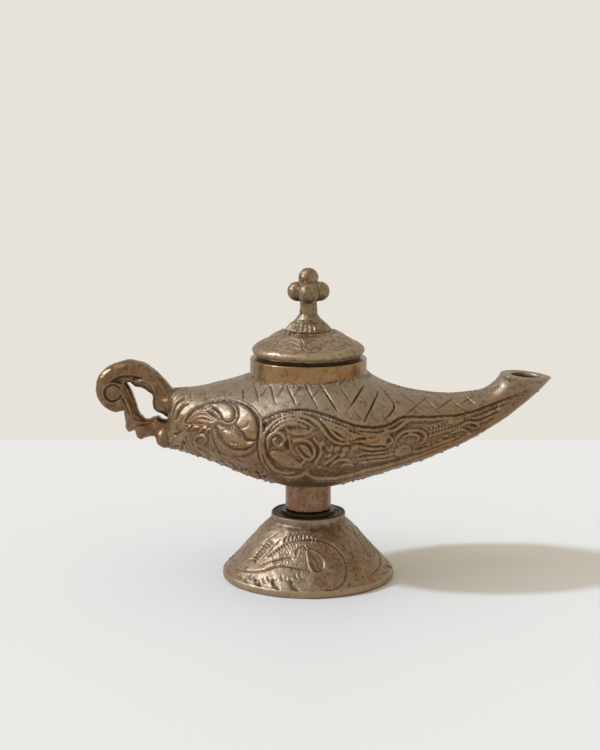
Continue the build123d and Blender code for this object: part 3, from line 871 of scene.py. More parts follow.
def carve_trailing_leaf(relief):
    """The leaf that trails from the medallion towards the spout, with strokes and buds under it."""
    upper_leaf = [
        (321.7, 418.2), (334.2, 422.8), (345.2, 426.8), (357.7, 430.6), (371.8, 433), (384.3, 432.6),
        (378.6, 435.8), (369, 438.2), (358, 438.8), (353, 441.4), (346.4, 440), (338.4, 435.6),
        (331, 429.4), (325.6, 423.4),
    ]
    lower_leaf = [
        (356.1, 441), (364, 440.4), (374.9, 438.9), (380.6, 435.8), (386, 433.4), (391, 434), (388, 440),
        (384, 445), (376, 446.4), (366, 445.4),
    ]
    relief.patch(upper_leaf, 1.0, 1.5)
    relief.patch(lower_leaf, 0.8, 1.3)
    veins = (
        [(327.9, 424.6), (337.3, 428), (345.2, 432), (351, 437), (353.6, 441)],
        [(336.5, 427), (346, 429.6), (355.4, 432.8), (364, 435.8)],
        [(348, 430), (358, 433), (368, 435), (376, 435)],
        [(331, 429), (338, 434), (345.2, 438.2)],
        [(360, 443.4), (368, 443.6), (376, 442), (382, 438.4)],
    )
    relief.draw(veins, 0.9, -0.5, (0.4, 0.3))
    ridges = (
        [(357, 445.4), (366.4, 448.6), (376.5, 449.2), (386, 447.8), (392, 444.6)],
        [(355.7, 456.6), (365.1, 453.7), (377.6, 453.3), (389, 452)],
        [(357.7, 460), (371.4, 457.6), (385.5, 456.2), (394, 454.6)],
        [(359.3, 463.6), (371.4, 461.6), (384, 460), (394, 458.4)],
        [(323.2, 465.6), (331.1, 460), (338, 455)],
        [(330, 467.6), (337.3, 461.4), (345.2, 460.4), (351.4, 463.2)],
        [(340.5, 468.4), (347, 464.8), (354, 466.6)],
        [(326, 447), (330, 451), (333, 446.4)],
    )
    relief.draw(ridges, 1.5, 0.95, (0.5, 0.3))
    ring = [
        (379.8, 440.4), (383, 437), (388.4, 436.6), (392.6, 439.4), (391.6, 443.4), (386.4, 444.8),
        (381.4, 443.6),
    ]
    relief.stroke(relief.lay(ring, True), 1.2, 0.9)
    buds = ((327.9, 456.6), (335.8, 449.8), (345.2, 450.4), (354.4, 448.8), (321, 445), (342, 456))
    for bud in buds:
        relief.stroke(relief.lay([bud, (bud[0] + 1.6, bud[1] - 1)]), 2.2, 0.8)


def carve_spout_panel(relief):
    """Along the spout: a wave scroll, a lobe, a feather's barbs and long leaf strokes."""
    ridges = (
        [(353.5, 442.6), (363.7, 440.6), (372.5, 439.6), (379.4, 436.6), (386.3, 431.8), (394, 430.6),
         (400.4, 426.6), (406.3, 421.9), (412.1, 420), (431.2, 419.6), (446, 419.4)],
        [(394, 446.8), (396, 439.9), (400.8, 434.1), (407.7, 431), (416.5, 430.6), (423.6, 432.4),
         (426.2, 437), (422.9, 442.4), (416, 446)],
        [(403.6, 437.4), (409.2, 434.6), (415.5, 434.8), (419.4, 437.4), (417.6, 441)],
        [(462, 426.7), (466.4, 423.1), (473.2, 422.5), (478.4, 425.3), (475, 428.4), (470, 427.6)],
        [(432, 447), (441, 443.2), (450, 440), (459, 436.4)],
        [(414, 452.6), (423, 450), (431, 447.4)],
    )
    relief.draw(ridges, 1.6, 1.0, (0.5, 0.4))
    lobe = [
        (394.5, 457), (396, 451), (400.8, 446), (407.2, 444.6), (411.4, 447), (411.8, 451.4),
        (406.7, 454.3),
        (400, 456.6),
    ]
    relief.patch(lobe, 0.95, 1.3)
    relief.stroke(relief.lay([(398.6, 453.4), (402.6, 449), (408, 447.6)]), 0.8, -0.4, (0.4, 0.4))
    for barb in range(11):
        x, y = 429 + 3.1 * barb, 425.6 - 0.9 * barb
        swing = 0.5 * math.sin(2.3 * barb)
        upper = [(x, y), (x + 2.2 + swing, y + 1.6), (x + 3, y + 5.4)]
        relief.stroke(relief.lay(upper), 1.15, 0.7, (1, 0.4))
        lower = [(x + 0.4, y + 11.4), (x + 2.4, y + 9.6 + swing), (x + 3.2, y + 6.4)]
        relief.stroke(relief.lay(lower), 1.15, 0.7, (1, 0.4))
    relief.stroke(relief.lay([(430, 432), (442, 428.4), (454, 424.6), (464, 420.6)]), 1.0, 0.6, (0.8, 0.4))
    leaves = (
        [(472, 419), (484, 415.6), (496, 410.4), (508, 404.8)],
        [(476, 423.6), (488.4, 418.6), (499, 412.8)],
        [(480, 428), (489, 423.4), (496, 418.6)],
        [(447, 424), (455, 421.4), (464, 419.6)],
        [(452, 433), (461, 430), (469, 432)],
    )
    relief.draw(leaves, 1.6, 0.85, (0.4, 0.3))
    for bead in ((428, 445), (440, 440.6), (446, 436.4), (468, 434), (484, 421)):
        relief.stroke(relief.lay([bead, (bead[0] + 1.2, bead[1])]), 1.8, 0.7)


def carve_borders(relief):
    """The beaded rope over the medallions, the deep line above it, and the double line below."""
    rope, wave, border = relief.lay(rope_line), relief.lay(rope_wave), relief.lay(border_line)
    relief.stroke(wave, 2.4, -0.35, (0.6, 0.4))
    relief.stroke(relief.shifted(rope_wave, 0, -1.6), 1.1, -0.55, (0.5, 0.2))
    relief.stroke(relief.shifted(rope_wave, 0, 1.9), 1.1, 0.75, (0.5, 0.4), bead=1.25)
    relief.stroke(rope, 1.9, -0.3)
    relief.stroke(rope, 1.15, 0.6, bead=1.25)
    relief.stroke(border, 0.9, 0.75, (0.5, 0.3))
    relief.stroke(relief.shifted(border_line, 0, 2.6), 0.9, 0.45, (0.5, 0.3))
    band = [
        (259.6, 419), (261.4, 426), (261, 434), (260, 442), (260.2, 450), (262, 458.4), (265.4, 466),
        (271, 472.6),
    ]
    relief.stroke(relief.lay(band), 1.5, 0.45, (0.6, 0.5))
    for shift in (-3.0, 2.6):
        relief.stroke(relief.shifted(band, shift, 0), 0.9, -0.5, (0.4, 0.4))


def carve_root(relief):
    """Folds of a leaf where the handle is brazed on."""
    folds = (
        [(170.4, 396), (173.6, 391.6), (179, 388.6), (185.6, 388.4)],
        [(171.6, 417), (174.4, 408.4), (179, 401.6), (185.6, 397)],
        [(175.4, 420), (178.6, 412.4), (183, 406.6), (188.6, 403.4)],
        [(167, 431), (171.6, 434.4), (177.6, 433.6), (182.8, 429.6)],
        [(167.6, 443.4), (174, 446.6), (181.6, 445.4), (188, 441)],
    )
    relief.draw(folds, 1.5, -0.5, (0.5, 0.4))
    ridges = (
        [(171, 407), (174, 400), (179, 394.6), (186.4, 392.2)],
        [(173.4, 418.6), (176.4, 410.4), (181, 404), (187.4, 400)],
        [(168.6, 437.6), (174.6, 440.4), (181.4, 438.8), (186.6, 434.6)],
        [(170, 449), (177.4, 451), (185, 449.6), (192, 446)],
    )
    relief.draw(ridges, 2.0, 0.35, (0.5, 0.3))


crown_seam = [
    (388, 383.4), (396, 386.6), (404, 388.6), (416, 390.8), (428, 392.6), (440, 393.6), (452, 393.7),
    (464, 392.8),
    (476, 391.4),
]


def carve_lattice(relief):
    """Thin engraved lines on the shoulder and the spout, crossed where they make diamonds."""
    lines = (
        [(270.3, 385.3), (275, 402.6)], [(287.6, 386.8), (297.1, 407.4)], [(305.5, 385.3), (318.1, 408.5)],
        [(321.3, 385.8), (332.9, 404.7), (338.1, 413)], [(285.5, 385.3), (276, 396.3)],
        [(302.3, 385.3), (292.9, 397.4)], [(319.2, 388.9), (311.8, 398.4)], [(255.4, 387.4), (258.6, 401)],
        [(243, 389), (243.4, 398.7)], [(268, 386.6), (260.6, 396)],
        [(364.4, 385.8), (350.8, 405.8), (346.5, 414.2)], [(378.1, 391), (372.8, 404.7), (364.4, 421.6)],
        [(324.4, 391), (338.1, 412.1)], [(355, 412.1), (364.4, 421.6)],
        [(384.4, 390), (394.9, 405.8), (386.5, 419.5)],
        [(363, 386.1), (352, 405.2)], [(378.4, 393.5), (364.5, 422)], [(380.6, 387.6), (394.5, 405.2),
        (382.8, 422)],
        [(400.4, 392), (431.2, 415.5)], [(426.8, 397.1), (412.1, 409.6), (398.9, 422)],
        [(423.9, 397.9), (441.5, 414)], [(451.8, 398.6), (437.1, 409.6)], [(450.3, 399.3), (467.9, 412.5)],
        [(465, 396.4), (476.7, 406.7)], [(474, 395.5), (461, 404)], [(341, 388), (352, 405)],
    )
    relief.draw(lines, 1.05, -0.52, (0.6, 0.4), sharp=True)
    dotted = ([(205.5, 391.3), (206, 398.7)], [(223.9, 390.3), (225.5, 398)], [(191, 393), (191.6, 400)])
    relief.draw(dotted, 1.0, -0.35, bead=1.2)
    relief.stroke(relief.lay(crown_seam), 1.1, 0.35, (0.6, 0.6), bead=1.7)
    for k in range(7):
        x = 481 + 2.6 * k
        relief.stroke(relief.lay([(x, 391.6 - 1.1 * k), (x + 1.6, 395 - 1.1 * k)]), 0.8, -0.3, sharp=True)


def carve_bowl(relief, girth):
    """Everything on the bowl's near half, from the ground up. Girth runs from crown 0 to keel 1."""
    relief.height += 0.10 * lumps(relief.points, 14, 1) + 0.05 * lumps(relief.points, 4, 2)
    along = relief.points[:, 0]
    keel = np.clip((girth - rough_keel_share) / rough_keel_fade_share, 0, 1)
    keel *= (np.abs(along) > bare_keel_reach) * np.clip((rough_keel_end - along) / rough_keel_fade, 0, 1)
    relief.height += keel * (0.30 * lumps(relief.points, 3.2, 6) + 0.2 * lumps(relief.points, 1.6, 7))
    relief.ground += relief.height
    carve_ground(relief)
    carve_left_medallion(relief)
    carve_under_leaves(relief)
    carve_middle_medallion(relief)
    carve_trailing_leaf(relief)
    carve_spout_panel(relief)
    carve_borders(relief)
    carve_root(relief)
    carve_lattice(relief)
    aside = np.abs(np.hypot(relief.points[:, 0], relief.points[:, 1]) - neck_beads_radius)
    near = (aside < neck_beads_width) & (relief.points[:, 2] > neck_beads_base)
    crumbs = 0.30 * lumps(relief.points, 1.3, 5) * (1 - aside / neck_beads_width)
    relief.height[near] += crumbs[near]


def neck_open(points, faces):
    """The faces left once the neck's bore is open."""
    radius = np.hypot(points[:, 0], points[:, 1])
    inside = (radius < neck_bore_radius + neck_cut_margin) & (points[:, 2] > neck_cut_base)
    return faces[~inside[faces].all(1)]


def build_bowl():
    """Both halves of the bowl. The near one is carved and the far one mirrors it.

    One grid runs from the handle's end along the outer skin, over the lip, down the wick hole and
    back along the inner skin, and a short half tube lines the neck's bore."""
    columns, rows = coarse_columns * fine + 1, coarse_rows * fine + 1
    last = len(rib_shares) - 1
    survey = np.linspace(0, last, survey_columns)
    waist = half_sections(survey, 0, survey_rows)[:, survey_rows // 2]
    travelled = np.concatenate([[0], np.cumsum(np.linalg.norm(np.diff(waist, axis=0), axis=1))])
    places = np.interp(np.linspace(0, travelled[-1], columns), travelled, survey)
    points = half_sections(places, 0, rows).reshape(-1, 3)
    faces = grid_faces(columns, rows)
    flipped = vertex_normals(points, faces)[:, 1].mean() > 0
    if flipped:
        faces = faces[:, ::-1]
    coarse = np.arange(columns * rows).reshape(columns, rows)[::fine, ::fine]
    coarse_faces = np.stack(
        [coarse[:-1, :-1], coarse[:-1, 1:], coarse[1:, 1:], coarse[1:, :-1]], -1
    ).reshape(-1, 4)
    relief = Relief(points, vertex_normals(points, faces), coarse_faces)
    carve_bowl(relief, np.tile(np.linspace(0, 1, rows), columns))

    outer = relief.carved().reshape(columns, rows, 3)
    outer[:, [0, -1], 1] = 0
    short = np.clip(end_round - outer[..., 0] + outer[0, :, 0], 0, end_round)
    outer[..., 1] *= 1 - (end_round - np.sqrt(end_round**2 - short**2)) / end_half_width
    ring = outer[-1]
    up = (ring[0] - ring[-1]) / np.linalg.norm(ring[0] - ring[-1])
    out = np.array([up[2], 0, -up[0]])
    angle = np.linspace(0, np.pi, rows)[:, None]
    hole = (ring[0] + ring[-1]) / 2 + wick_hole_radius * (np.cos(angle) * up + np.sin(angle) * [0, -1, 0])
    lip = [
        ring * (1 - t) + hole * t + out * lip_swell * math.sin(math.pi * t) ** lip_fullness
        for t in np.linspace(0, 1, 11)[1:]
    ]
    bore = [hole - out * wick_hole_depth * t for t in np.linspace(0, 1, 6)[1:]]
    inner = half_sections(np.linspace(last - 1, 1, 46), bowl_wall, rows)
    radius = np.hypot(inner[..., 0], inner[..., 1])
    level = inner[..., 2]
    level = np.where(radius < neck_boss_radius, np.minimum(level, neck_boss_base), level)
    inner[..., 2] = np.where(radius < stem_pad_radius, np.maximum(level, stem_pad_height), level)
    grid = np.concatenate([outer, lip, bore, inner])
    skin = grid.reshape(-1, 3)
    faces = grid_faces(len(grid), rows)
    tube_angle = np.linspace(np.pi, 2 * np.pi, 97)
    tube = [
        (neck_bore_radius * math.cos(a), neck_bore_radius * math.sin(a), z)
        for a in tube_angle
        for z in np.linspace(collar_seat_height + 0.1, neck_boss_base - 0.1, 4)
    ]
    tube_faces = grid_faces(len(tube_angle), 4, len(skin))
    if flipped:
        faces = faces[:, ::-1]
    else:
        tube_faces = tube_faces[:, ::-1]
    shape = np.concatenate([skin, np.array(tube)])
    faces = np.concatenate([neck_open(shape, faces), tube_faces])
    recess = hollowness(shape, faces)
    recess[: len(points)] += bowl_dirt * relief.dirt()
    recess[(columns + len(lip)) * rows :] = deep_dirt
    caps = [list(range(rows)), list(range(len(skin) - rows, len(skin)))]
    for name, side in (("bowl_near", 1), ("bowl_far", -1)):
        add_piece(
            name + "_skin",
            shape * np.array([1, side, 1]),
            faces[:, ::side],
            bowl_brass,
            "root",
            [name],
            recess,
            [caps[0][::-side], caps[1][::side]],
        )


# Turned shapes, with how many steps a turn has
foot_steps, crust_steps, lid_steps = 600, 240, 480
outline_step = 0.33


def walk(corners, step):
    """Points along straight runs between corners, about a step apart, without the last corner."""
    made = []
    for a, b in zip(corners, corners[1:]):
        count = max(1, round(math.dist(a, b) / step))
        made += [
            (a[0] + (b[0] - a[0]) * k / count, a[1] + (b[1] - a[1]) * k / count) for k in range(count)
        ]
    return made


def revolve(profile, turns):
    """Points and faces of a closed profile of (radius, height), its outer side running upwards."""
    angle = np.arange(turns) * 2 * np.pi / turns
    radius, height = np.array(profile).T
    points = np.stack(
        [
            np.outer(np.cos(angle), radius),
            np.outer(np.sin(angle), radius),
            np.broadcast_to(height, (turns, len(radius))),
        ],
        -1,
    ).reshape(-1, 3)
    index = np.arange(turns * len(radius)).reshape(turns, len(radius))
    right = np.roll(index, -1, 0)
    faces = np.stack([index, right, np.roll(right, -1, 1), np.roll(index, -1, 1)], -1).reshape(-1, 4)
    return points, faces


def turn_about_axis(degrees):
    """The matrix of a turn about the lamp's upright axis."""
    c, s = math.cos(math.radians(degrees)), math.sin(math.radians(degrees))
    return np.array([[c, -s, 0], [s, c, 0], [0, 0, 1]])


thirds = [turn_about_axis(a) for a in (0, 120, 240)]

# Foot
foot_radius, foot_rim_height, foot_height = 36.2, 3.6, 27.7
cup_radius, cup_base, cup_floor, cup_wall = 15.6, 24.1, 26.4, 1.6
cone_top_radius, foot_ceiling, foot_ceiling_radius, foot_sole_width = 16.3, 23.6, 11.0, 3.0
screw_hole_radius = 2.8
foot_cone_shares = [(0.739, 0.224), (0.568, 0.390), (0.397, 0.585), (0.236, 0.771), (0.085, 0.927), (0, 1)]


def carve_foot(relief):
    """A beaded paisley round a leaf, a feather leaf and small marks, three times round the foot."""
    relief.height += 0.10 * lumps(relief.points, 12, 11) + 0.05 * lumps(relief.points, 3.5, 12)
    relief.ground += relief.height
    paisley = [
        (264, 561.3), (271.6, 556.6), (281.1, 549.6), (290.5, 544.2), (299.9, 541.9), (309.4, 541.3),
        (318.8, 541.9), (328.3, 545.4), (336.5, 551.9), (341.8, 559), (344.2, 567.2), (343.6, 575.5),
        (340.1, 582.6), (333, 587.3), (324.7, 587.9), (316.5, 586.1), (309.4, 582.6), (303, 577),
        (295, 570), (285.8, 566.6), (276.3, 566.7), (265.7, 569.6),
    ]
    core = [
        (307.6, 550.6), (314.6, 551.8), (320.8, 556), (324.8, 562), (324.6, 568.4), (320.6, 572.6),
        (314.8, 572.4), (310.4, 567.4), (308.4, 559.6),
    ]
    relief.grain(paisley, 0.07, 1.0)
    relief.sink(core, 0.35, 0.9)
    relief.stroke(relief.lay(core, True), 1.1, 0.3)
    cuts = (
        ([(312, 556), (317.6, 561), (319.4, 567.6)], 0.8, -0.18),
        ([(259.8, 564.9), (271.6, 561.3), (281.1, 559), (290.5, 557.2), (297.6, 557.8)], 1.0, -0.27),
        ([(233.9, 568.4), (242.1, 570.8), (253.9, 571.4), (265.7, 569.6), (276.3, 566.7), (285.8, 566.1),
          (295.2, 567.8), (304.7, 569.6)], 1.1, -0.3),
        ([(277.5, 532.4), (266.9, 540.1), (262.2, 547.2), (255.1, 555.5), (255.1, 561.3)], 1.0, -0.27),
        ([(281, 538.9), (272.8, 547.2), (266.9, 554.3), (261, 559)], 1.0, -0.27),
        ([(251.8, 536.6), (248, 540.7), (243.3, 548.4), (242.1, 550.7)], 0.9, -0.18),
        ([(296.4, 555.5), (297.6, 549.6), (303.5, 546), (306.6, 550)], 1.0, -0.27),
        ([(255, 579), (256.8, 583), (260.4, 586)], 1.7, -0.35),
        ([(272.6, 579.4), (274.8, 585), (279.4, 589.4)], 2.2, -0.42),
        ([(289.6, 580.6), (292.4, 586), (297.4, 589.8)], 2.2, -0.42),
    )
    for path, width, depth in cuts:
        relief.stroke(relief.lay(path), width, depth, (0.5, 0.4))
    relief.stroke(relief.lay(paisley[:17]), 1.3, -0.27, (0.5, 0.5))
    relief.stroke(relief.lay(paisley[:17]), 1.0, 0.26, (0.6, 0.6), bead=1.3)
    outer = [(p[0] * 1.07 - 0.07 * 312, p[1] * 1.07 - 0.07 * 565) for p in paisley[1:15]]
    relief.stroke(relief.lay(outer), 1.1, -0.5, bead=1.3)
    for k in range(9):
        x, y = 285 + 4.2 * k, 545 - 7 * math.sin(math.pi * (k + 1.5) / 11)
        relief.stroke(relief.lay([(x, y), (x + 0.2, y - 3.4), (x + 3.4, y - 6.6)]), 0.9, -0.3, (1, 0.3))
    for k in range(8):
        x, y = 268 - 2.4 * k, 541 + 2.6 * k
        relief.stroke(relief.lay([(x, y), (x + 3.2, y + 0.4), (x + 4.8, y + 3.6)]), 0.8, -0.27, (1, 0.3))
    for k in range(14):
        x = 240 + 4.6 * k
        y = 575 + 2.4 * math.sin(1.9 * k) + 4 * math.sin(math.pi * k / 13)
        relief.stroke(relief.lay([(x, y), (x + 0.2, y + 2.4), (x + 2.6, y + 4.6)]), 0.9, -0.27, (1, 0.3))
    dots = ((352, 556), (356, 562), (360, 569), (350, 570), (363, 577), (356, 579), (349, 585), (233, 560))
    for x, y in dots:
        relief.stroke(relief.lay([(x, y), (x + 0.6, y)]), 1.0, -0.27)


def build_foot():
    """The cast foot: a hollow cone with a rolled rim and a cup."""
    cone = [
        (
            cone_top_radius + (foot_radius - cone_top_radius) * r,
            foot_rim_height + (cup_base - foot_rim_height) * z,
        )
        for r, z in foot_cone_shares
    ]
    rim = [
        (foot_radius - 0.7, 0),
        (foot_radius - 0.1, 0.6),
        (foot_radius, 1.7),
        (foot_radius - 0.3, 2.9),
        (foot_radius - 1.4, 4.0),
    ]
    cup = [
        (cup_radius, cup_base + 0.9),
        (cup_radius, foot_height - 0.6),
        (cup_radius - 0.4, foot_height - 0.05),
        (cup_radius - cup_wall + 0.3, foot_height - 0.05),
        (cup_radius - cup_wall, foot_height - 0.4),
        (cup_radius - cup_wall, cup_floor),
    ]
    outer = [tuple(p) for p in curve_through(rim + cone, step=outline_step)[:-1]]
    inner = [
        (cup_radius - cup_wall, cup_floor),
        (screw_hole_radius, cup_floor),
        (screw_hole_radius, foot_ceiling),
        (foot_ceiling_radius, foot_ceiling),
        (foot_radius - foot_sole_width, foot_rim_height),
        (foot_radius - foot_sole_width, 0),
        rim[0],
    ]
    profile = outer + walk([cone[-1]] + cup, 0.35) + walk(inner, 2.5)
    points, faces = revolve(profile, foot_steps)
    relief = Relief(points, vertex_normals(points, faces), faces, thirds)
    carve_foot(relief)
    radius = np.hypot(points[:, 0], points[:, 1])
    relief.height[(points[:, 2] < plain_edge) | (radius < cup_radius - cup_wall + 0.2)] = 0
    shape = relief.carved()
    recess = hollowness(shape, faces) + engraved_dirt * relief.dirt()
    recess[(points[:, 2] > foot_height - 0.5) & (radius < cup_radius - 0.1)] = deep_dirt
    recess[(points[:, 2] < foot_rim_height - 0.4) & (radius > foot_radius - 1)] += worn_edge
    add_piece("foot_skin", shape, faces, foot_brass, "root", ["foot"], recess)


# Crust
crust_inner_radius, crust_outer_radius, crust_top = 11.3, 14.1, foot_height - 0.35


def build_crust():
    """The dark crust of old verdigris and dirt that fills the cup round the seat washer."""
    profile = walk(
        [
            (crust_inner_radius, cup_floor + 0.1),
            (crust_outer_radius, cup_floor + 0.1),
            (crust_outer_radius, crust_top),
            (crust_inner_radius, crust_top + 0.25),
            (crust_inner_radius, cup_floor + 0.1),
        ],
        0.4,
    )
    points, faces = revolve(profile, crust_steps)
    normals = vertex_normals(points, faces)
    crumbs = 0.12 * lumps(points, 1.6, 51) + 0.1 * lumps(points, 4, 52)
    height = np.where(points[:, 2] > crust_top - 0.2, crumbs, 0)
    shape = points + normals * height[:, None]
    add_piece("cup_crust_skin", shape, faces, verdigris, "root")


# Lid
lid_radius, lid_base, lid_rise, lid_wall = 23.4, 94.8, 10.0, 1.9
lid_top = lid_base + lid_rise
stud_hole_radius, sleeve_bore_radius, finial_nut_width = 2.3, 18.15, 7.0
lid_shares = [
    (0.960, 0.0), (1.0, 0.190), (0.975, 0.330), (0.905, 0.450), (0.727, 0.680), (0.573, 0.905),
    (0.397, 1.0),
]
lid_hollow_shares = [(0.500, 0.680), (0.750, 0.300)]


def carve_lid(relief):
    """Engraved scrolls and dotted lines, three times round the lid."""
    relief.height += 0.08 * lumps(relief.points, 10, 21) + 0.05 * lumps(relief.points, 3, 22)
    relief.ground += relief.height
    cuts = (
        [(284.8, 334.9), (278.2, 341.6), (272.4, 347.4), (270.7, 349.9)],
        [(299.6, 337.6), (302.6, 343), (302.6, 348.2), (306.4, 351.6), (312.4, 352), (318.4, 350.4),
        (321.6, 346.4),
         (320.4, 342), (316, 339.8), (310.6, 340), (307.2, 343), (308.2, 346.8), (312.2, 347.8),
         (315.2, 345.6)],
        [(328.7, 339.9), (325.4, 343.2), (326.3, 346.5), (331.2, 349.4), (337, 350.3), (342.8, 348.2),
         (347, 345.7), (353.6, 344.9)],
        [(334.6, 338.4), (331.2, 342.4), (333.4, 346), (338.6, 346.8), (344, 344.6), (350, 341.4)],
        [(286, 344.6), (290.6, 343), (295.6, 344.4), (299, 347.4)],
    )
    relief.draw(cuts, 0.85, -0.26, (0.6, 0.5))
    dotted = (
        [(277.6, 344.6), (282.6, 341.2), (288, 339.4), (293.4, 339.2), (298, 341)],
        [(276.5, 350.4), (284, 348.4), (291.4, 348.6), (298.1, 349.6), (302.2, 351.4)],
        [(324, 337), (331, 336.6), (338, 337.4), (345, 339.4)],
    )
    relief.draw(dotted, 0.8, -0.26, bead=1.1)
    radius = np.hypot(relief.points[:, 0], relief.points[:, 1])
    ring = (np.abs(radius - 11.0) < 1.1) & (relief.points[:, 2] > lid_base + 6)
    relief.height[ring] += (0.25 * lumps(relief.points, 1.2, 23))[ring]


def build_lid():
    """The cast lid: a shallow dome with a rolled rim, hollow beneath."""
    outline = [(lid_radius * r, lid_base + lid_rise * z) for r, z in lid_shares]
    hollow = [(lid_radius * r, lid_base + lid_rise * z) for r, z in lid_hollow_shares]
    under = [
        (stud_hole_radius, lid_top),
        (stud_hole_radius, lid_top - lid_wall),
        (finial_nut_width, lid_top - lid_wall),
        hollow[0],
        hollow[1],
        (sleeve_bore_radius, lid_base),
        outline[0],
    ]
    outer = [tuple(p) for p in curve_through(outline, step=outline_step)[:-1]]
    profile = outer + walk([outline[-1], under[0]], 0.8) + walk(under, 1.5)
    points, faces = revolve(profile, lid_steps)
    relief = Relief(points, vertex_normals(points, faces), faces, thirds)
    carve_lid(relief)
    radius = np.hypot(points[:, 0], points[:, 1])
    relief.height[(radius < outline[-1][0]) | (points[:, 2] < lid_base + plain_edge)] = 0
    shape = relief.carved()
    recess = hollowness(shape, faces) + engraved_dirt * relief.dirt()
    add_piece("lid_skin", shape, faces, lid_brass, "lid", ["lid_cover"], recess)


# Cast forms without straight edges


def field_mesh(low, high, cell, field):
    """The skin where a field of distances in mm changes sign, as points and outward quads."""
    axes = [np.arange(a - 3 * cell, b + 3 * cell, cell) for a, b in zip(low, high)]
    value = field(*np.meshgrid(*axes, indexing="ij"))
    grid = openvdb.FloatGrid()
    grid.background = 3.0
    grid.copyFromArray(np.clip(value / cell, -3, 3).astype(np.float32))
    points, quads = grid.convertToQuads(isovalue=0.0)
    points = points.astype(float) * cell + np.array([a[0] for a in axes])
    quads = quads.astype(np.int64)
    a, b, c, d = (points[quads[:, k]] for k in range(4))
    if (np.cross(c - a, d - b) * (a + c) / 2).sum() < 0:
        quads = quads[:, ::-1]
    return points, quads


def blended(first, second, width):
    """The union of two distance fields with a fillet about this wide."""
    share = np.clip(0.5 + 0.5 * (second - first) / width, 0, 1)
    return second + (first - second) * share - width * share * (1 - share)


# Finial
finial_height, finial_flare_radius, finial_ball_radius = 26.1, 9.3, 4.05
finial_stud_radius, finial_nut_height, finial_ball_count = 2.0, 3.2, 4
finial_shares = [
    (1.0, 0.0), (1.0, 0.030), (0.900, 0.065), (0.740, 0.130), (0.540, 0.192), (0.400, 0.272),
    (0.366, 0.470),
]
cluster_height_share, cluster_spread_share = 0.625, 1.16
cluster_height = lid_top + finial_height * cluster_height_share
cluster_spread = finial_ball_radius * cluster_spread_share
top_ball_height = lid_top + finial_height - finial_ball_radius
front_ball_extra, ball_blend = 0.3, 1.0
gadroons, gadroon_height, gadroon_depth = 26, 3.4, 0.75
finial_cell = 0.2


def finial_field(x, y, z):
    """Distance to the finial: five balls on a neck, a ribbed flare and the stud."""
    radius = np.sqrt(x * x + y * y)
    heights = [lid_top + finial_height * share for _, share in finial_shares]
    flare_radius = np.interp(z, heights, [finial_flare_radius * r for r, _ in finial_shares])
    rib = np.abs(np.cos(np.arctan2(y, x) * gadroons / 2))
    band = np.clip(1 - np.abs(z - lid_top - gadroon_height / 2) / (gadroon_height / 2), 0, 1)
    flare_radius += (rib - 0.5) * gadroon_depth * np.sqrt(band)
    shape = np.maximum(radius - flare_radius, np.maximum(lid_top - z, z - top_ball_height)) * 0.8
    centres = [(0, 0, top_ball_height)]
    for k in range(finial_ball_count):
        angle = 2 * math.pi * k / finial_ball_count
        centres.append((cluster_spread * math.cos(angle), cluster_spread * math.sin(angle), cluster_height))
    for cx, cy, cz in centres:
        ball = np.sqrt((x - cx) ** 2 + (y - cy) ** 2 + (z - cz) ** 2) - finial_ball_radius
        shape = blended(shape, ball - front_ball_extra * (abs(cy) > 1), ball_blend)
    stud_end = lid_top - lid_wall - finial_nut_height
    stud = np.maximum(radius - finial_stud_radius, np.maximum(stud_end - z, z - lid_top - 1))
    return np.minimum(shape, stud)


def build_finial():
    """The cast finial, a little lumpy above the lid and plain below it."""
    reach = finial_flare_radius + 1
    low = (-reach, -reach, lid_top - lid_wall - finial_nut_height)
    high = (reach, reach, lid_top + finial_height)
    points, faces = field_mesh(low, high, finial_cell, finial_field)
    normals = vertex_normals(points, faces)
    height = 0.08 * lumps(points, 3.5, 31) + 0.04 * lumps(points, 0.9, 32)
    height[points[:, 2] < lid_top + 0.2] = 0
    shape = points + normals * height[:, None]
    recess = hollowness(shape, faces)
    add_piece("finial_skin", shape, faces, finial_brass, "lid", ["finial"], recess)


# Handle: the solid's outline in the same shares
root_crown = (back_reach * rib_shares[0][0], bowl_base_height + rib_shares[0][1] * bowl_rise)
root_keel = (back_reach * rib_shares[0][2], bowl_base_height + rib_shares[0][3] * bowl_rise)
handle_length, handle_rise, handle_thickness, handle_overlap = 31.7, 12.0, 9.0, 3.0
arch_shares = [
    (0.871, 0.416), (0.729, 0.750), (0.596, 0.932), (0.442, 1.000), (0.297, 0.916), (0.129, 0.699),
    (0.032, 0.382), (0.000, -0.012), (0.025, -0.167), (0.101, -0.305), (0.237, -0.402), (0.372, -0.369),
]
spur_shares = [
    (0.375, -0.523), (0.382, -0.678), (0.426, -0.750), (0.505, -0.713), (0.539, -0.851), (0.580, -0.880),
    (0.697, -0.823), (0.814, -0.795), (0.823, -0.921),
]
lower_gap_shares = [
    (0.874, -0.523), (0.801, -0.478), (0.672, -0.536), (0.612, -0.482), (0.565, -0.394), (0.521, -0.219),
    (0.473, -0.041), (0.405, 0.230),
]
upper_gap_shares = [
    (0.454, 0.247), (0.490, 0.140), (0.528, 0.067), (0.599, 0.025), (0.678, -0.041), (0.744, -0.118),
    (0.748, -0.268), (0.779, -0.381), (0.877, -0.437),
]
lower_foot_share, upper_foot_share = 0.545, 0.500
handle_edge_round, handle_cell = 3.6, 0.24
# Lobes of braze where the feet meet the bowl: their place from crown to keel, distance aside and radius.
root_lobes = [(0.24, 3.2, 3.0), (0.84, 3.4, 3.9)]
lobe_blend, lobe_room = 2.4, 6.0


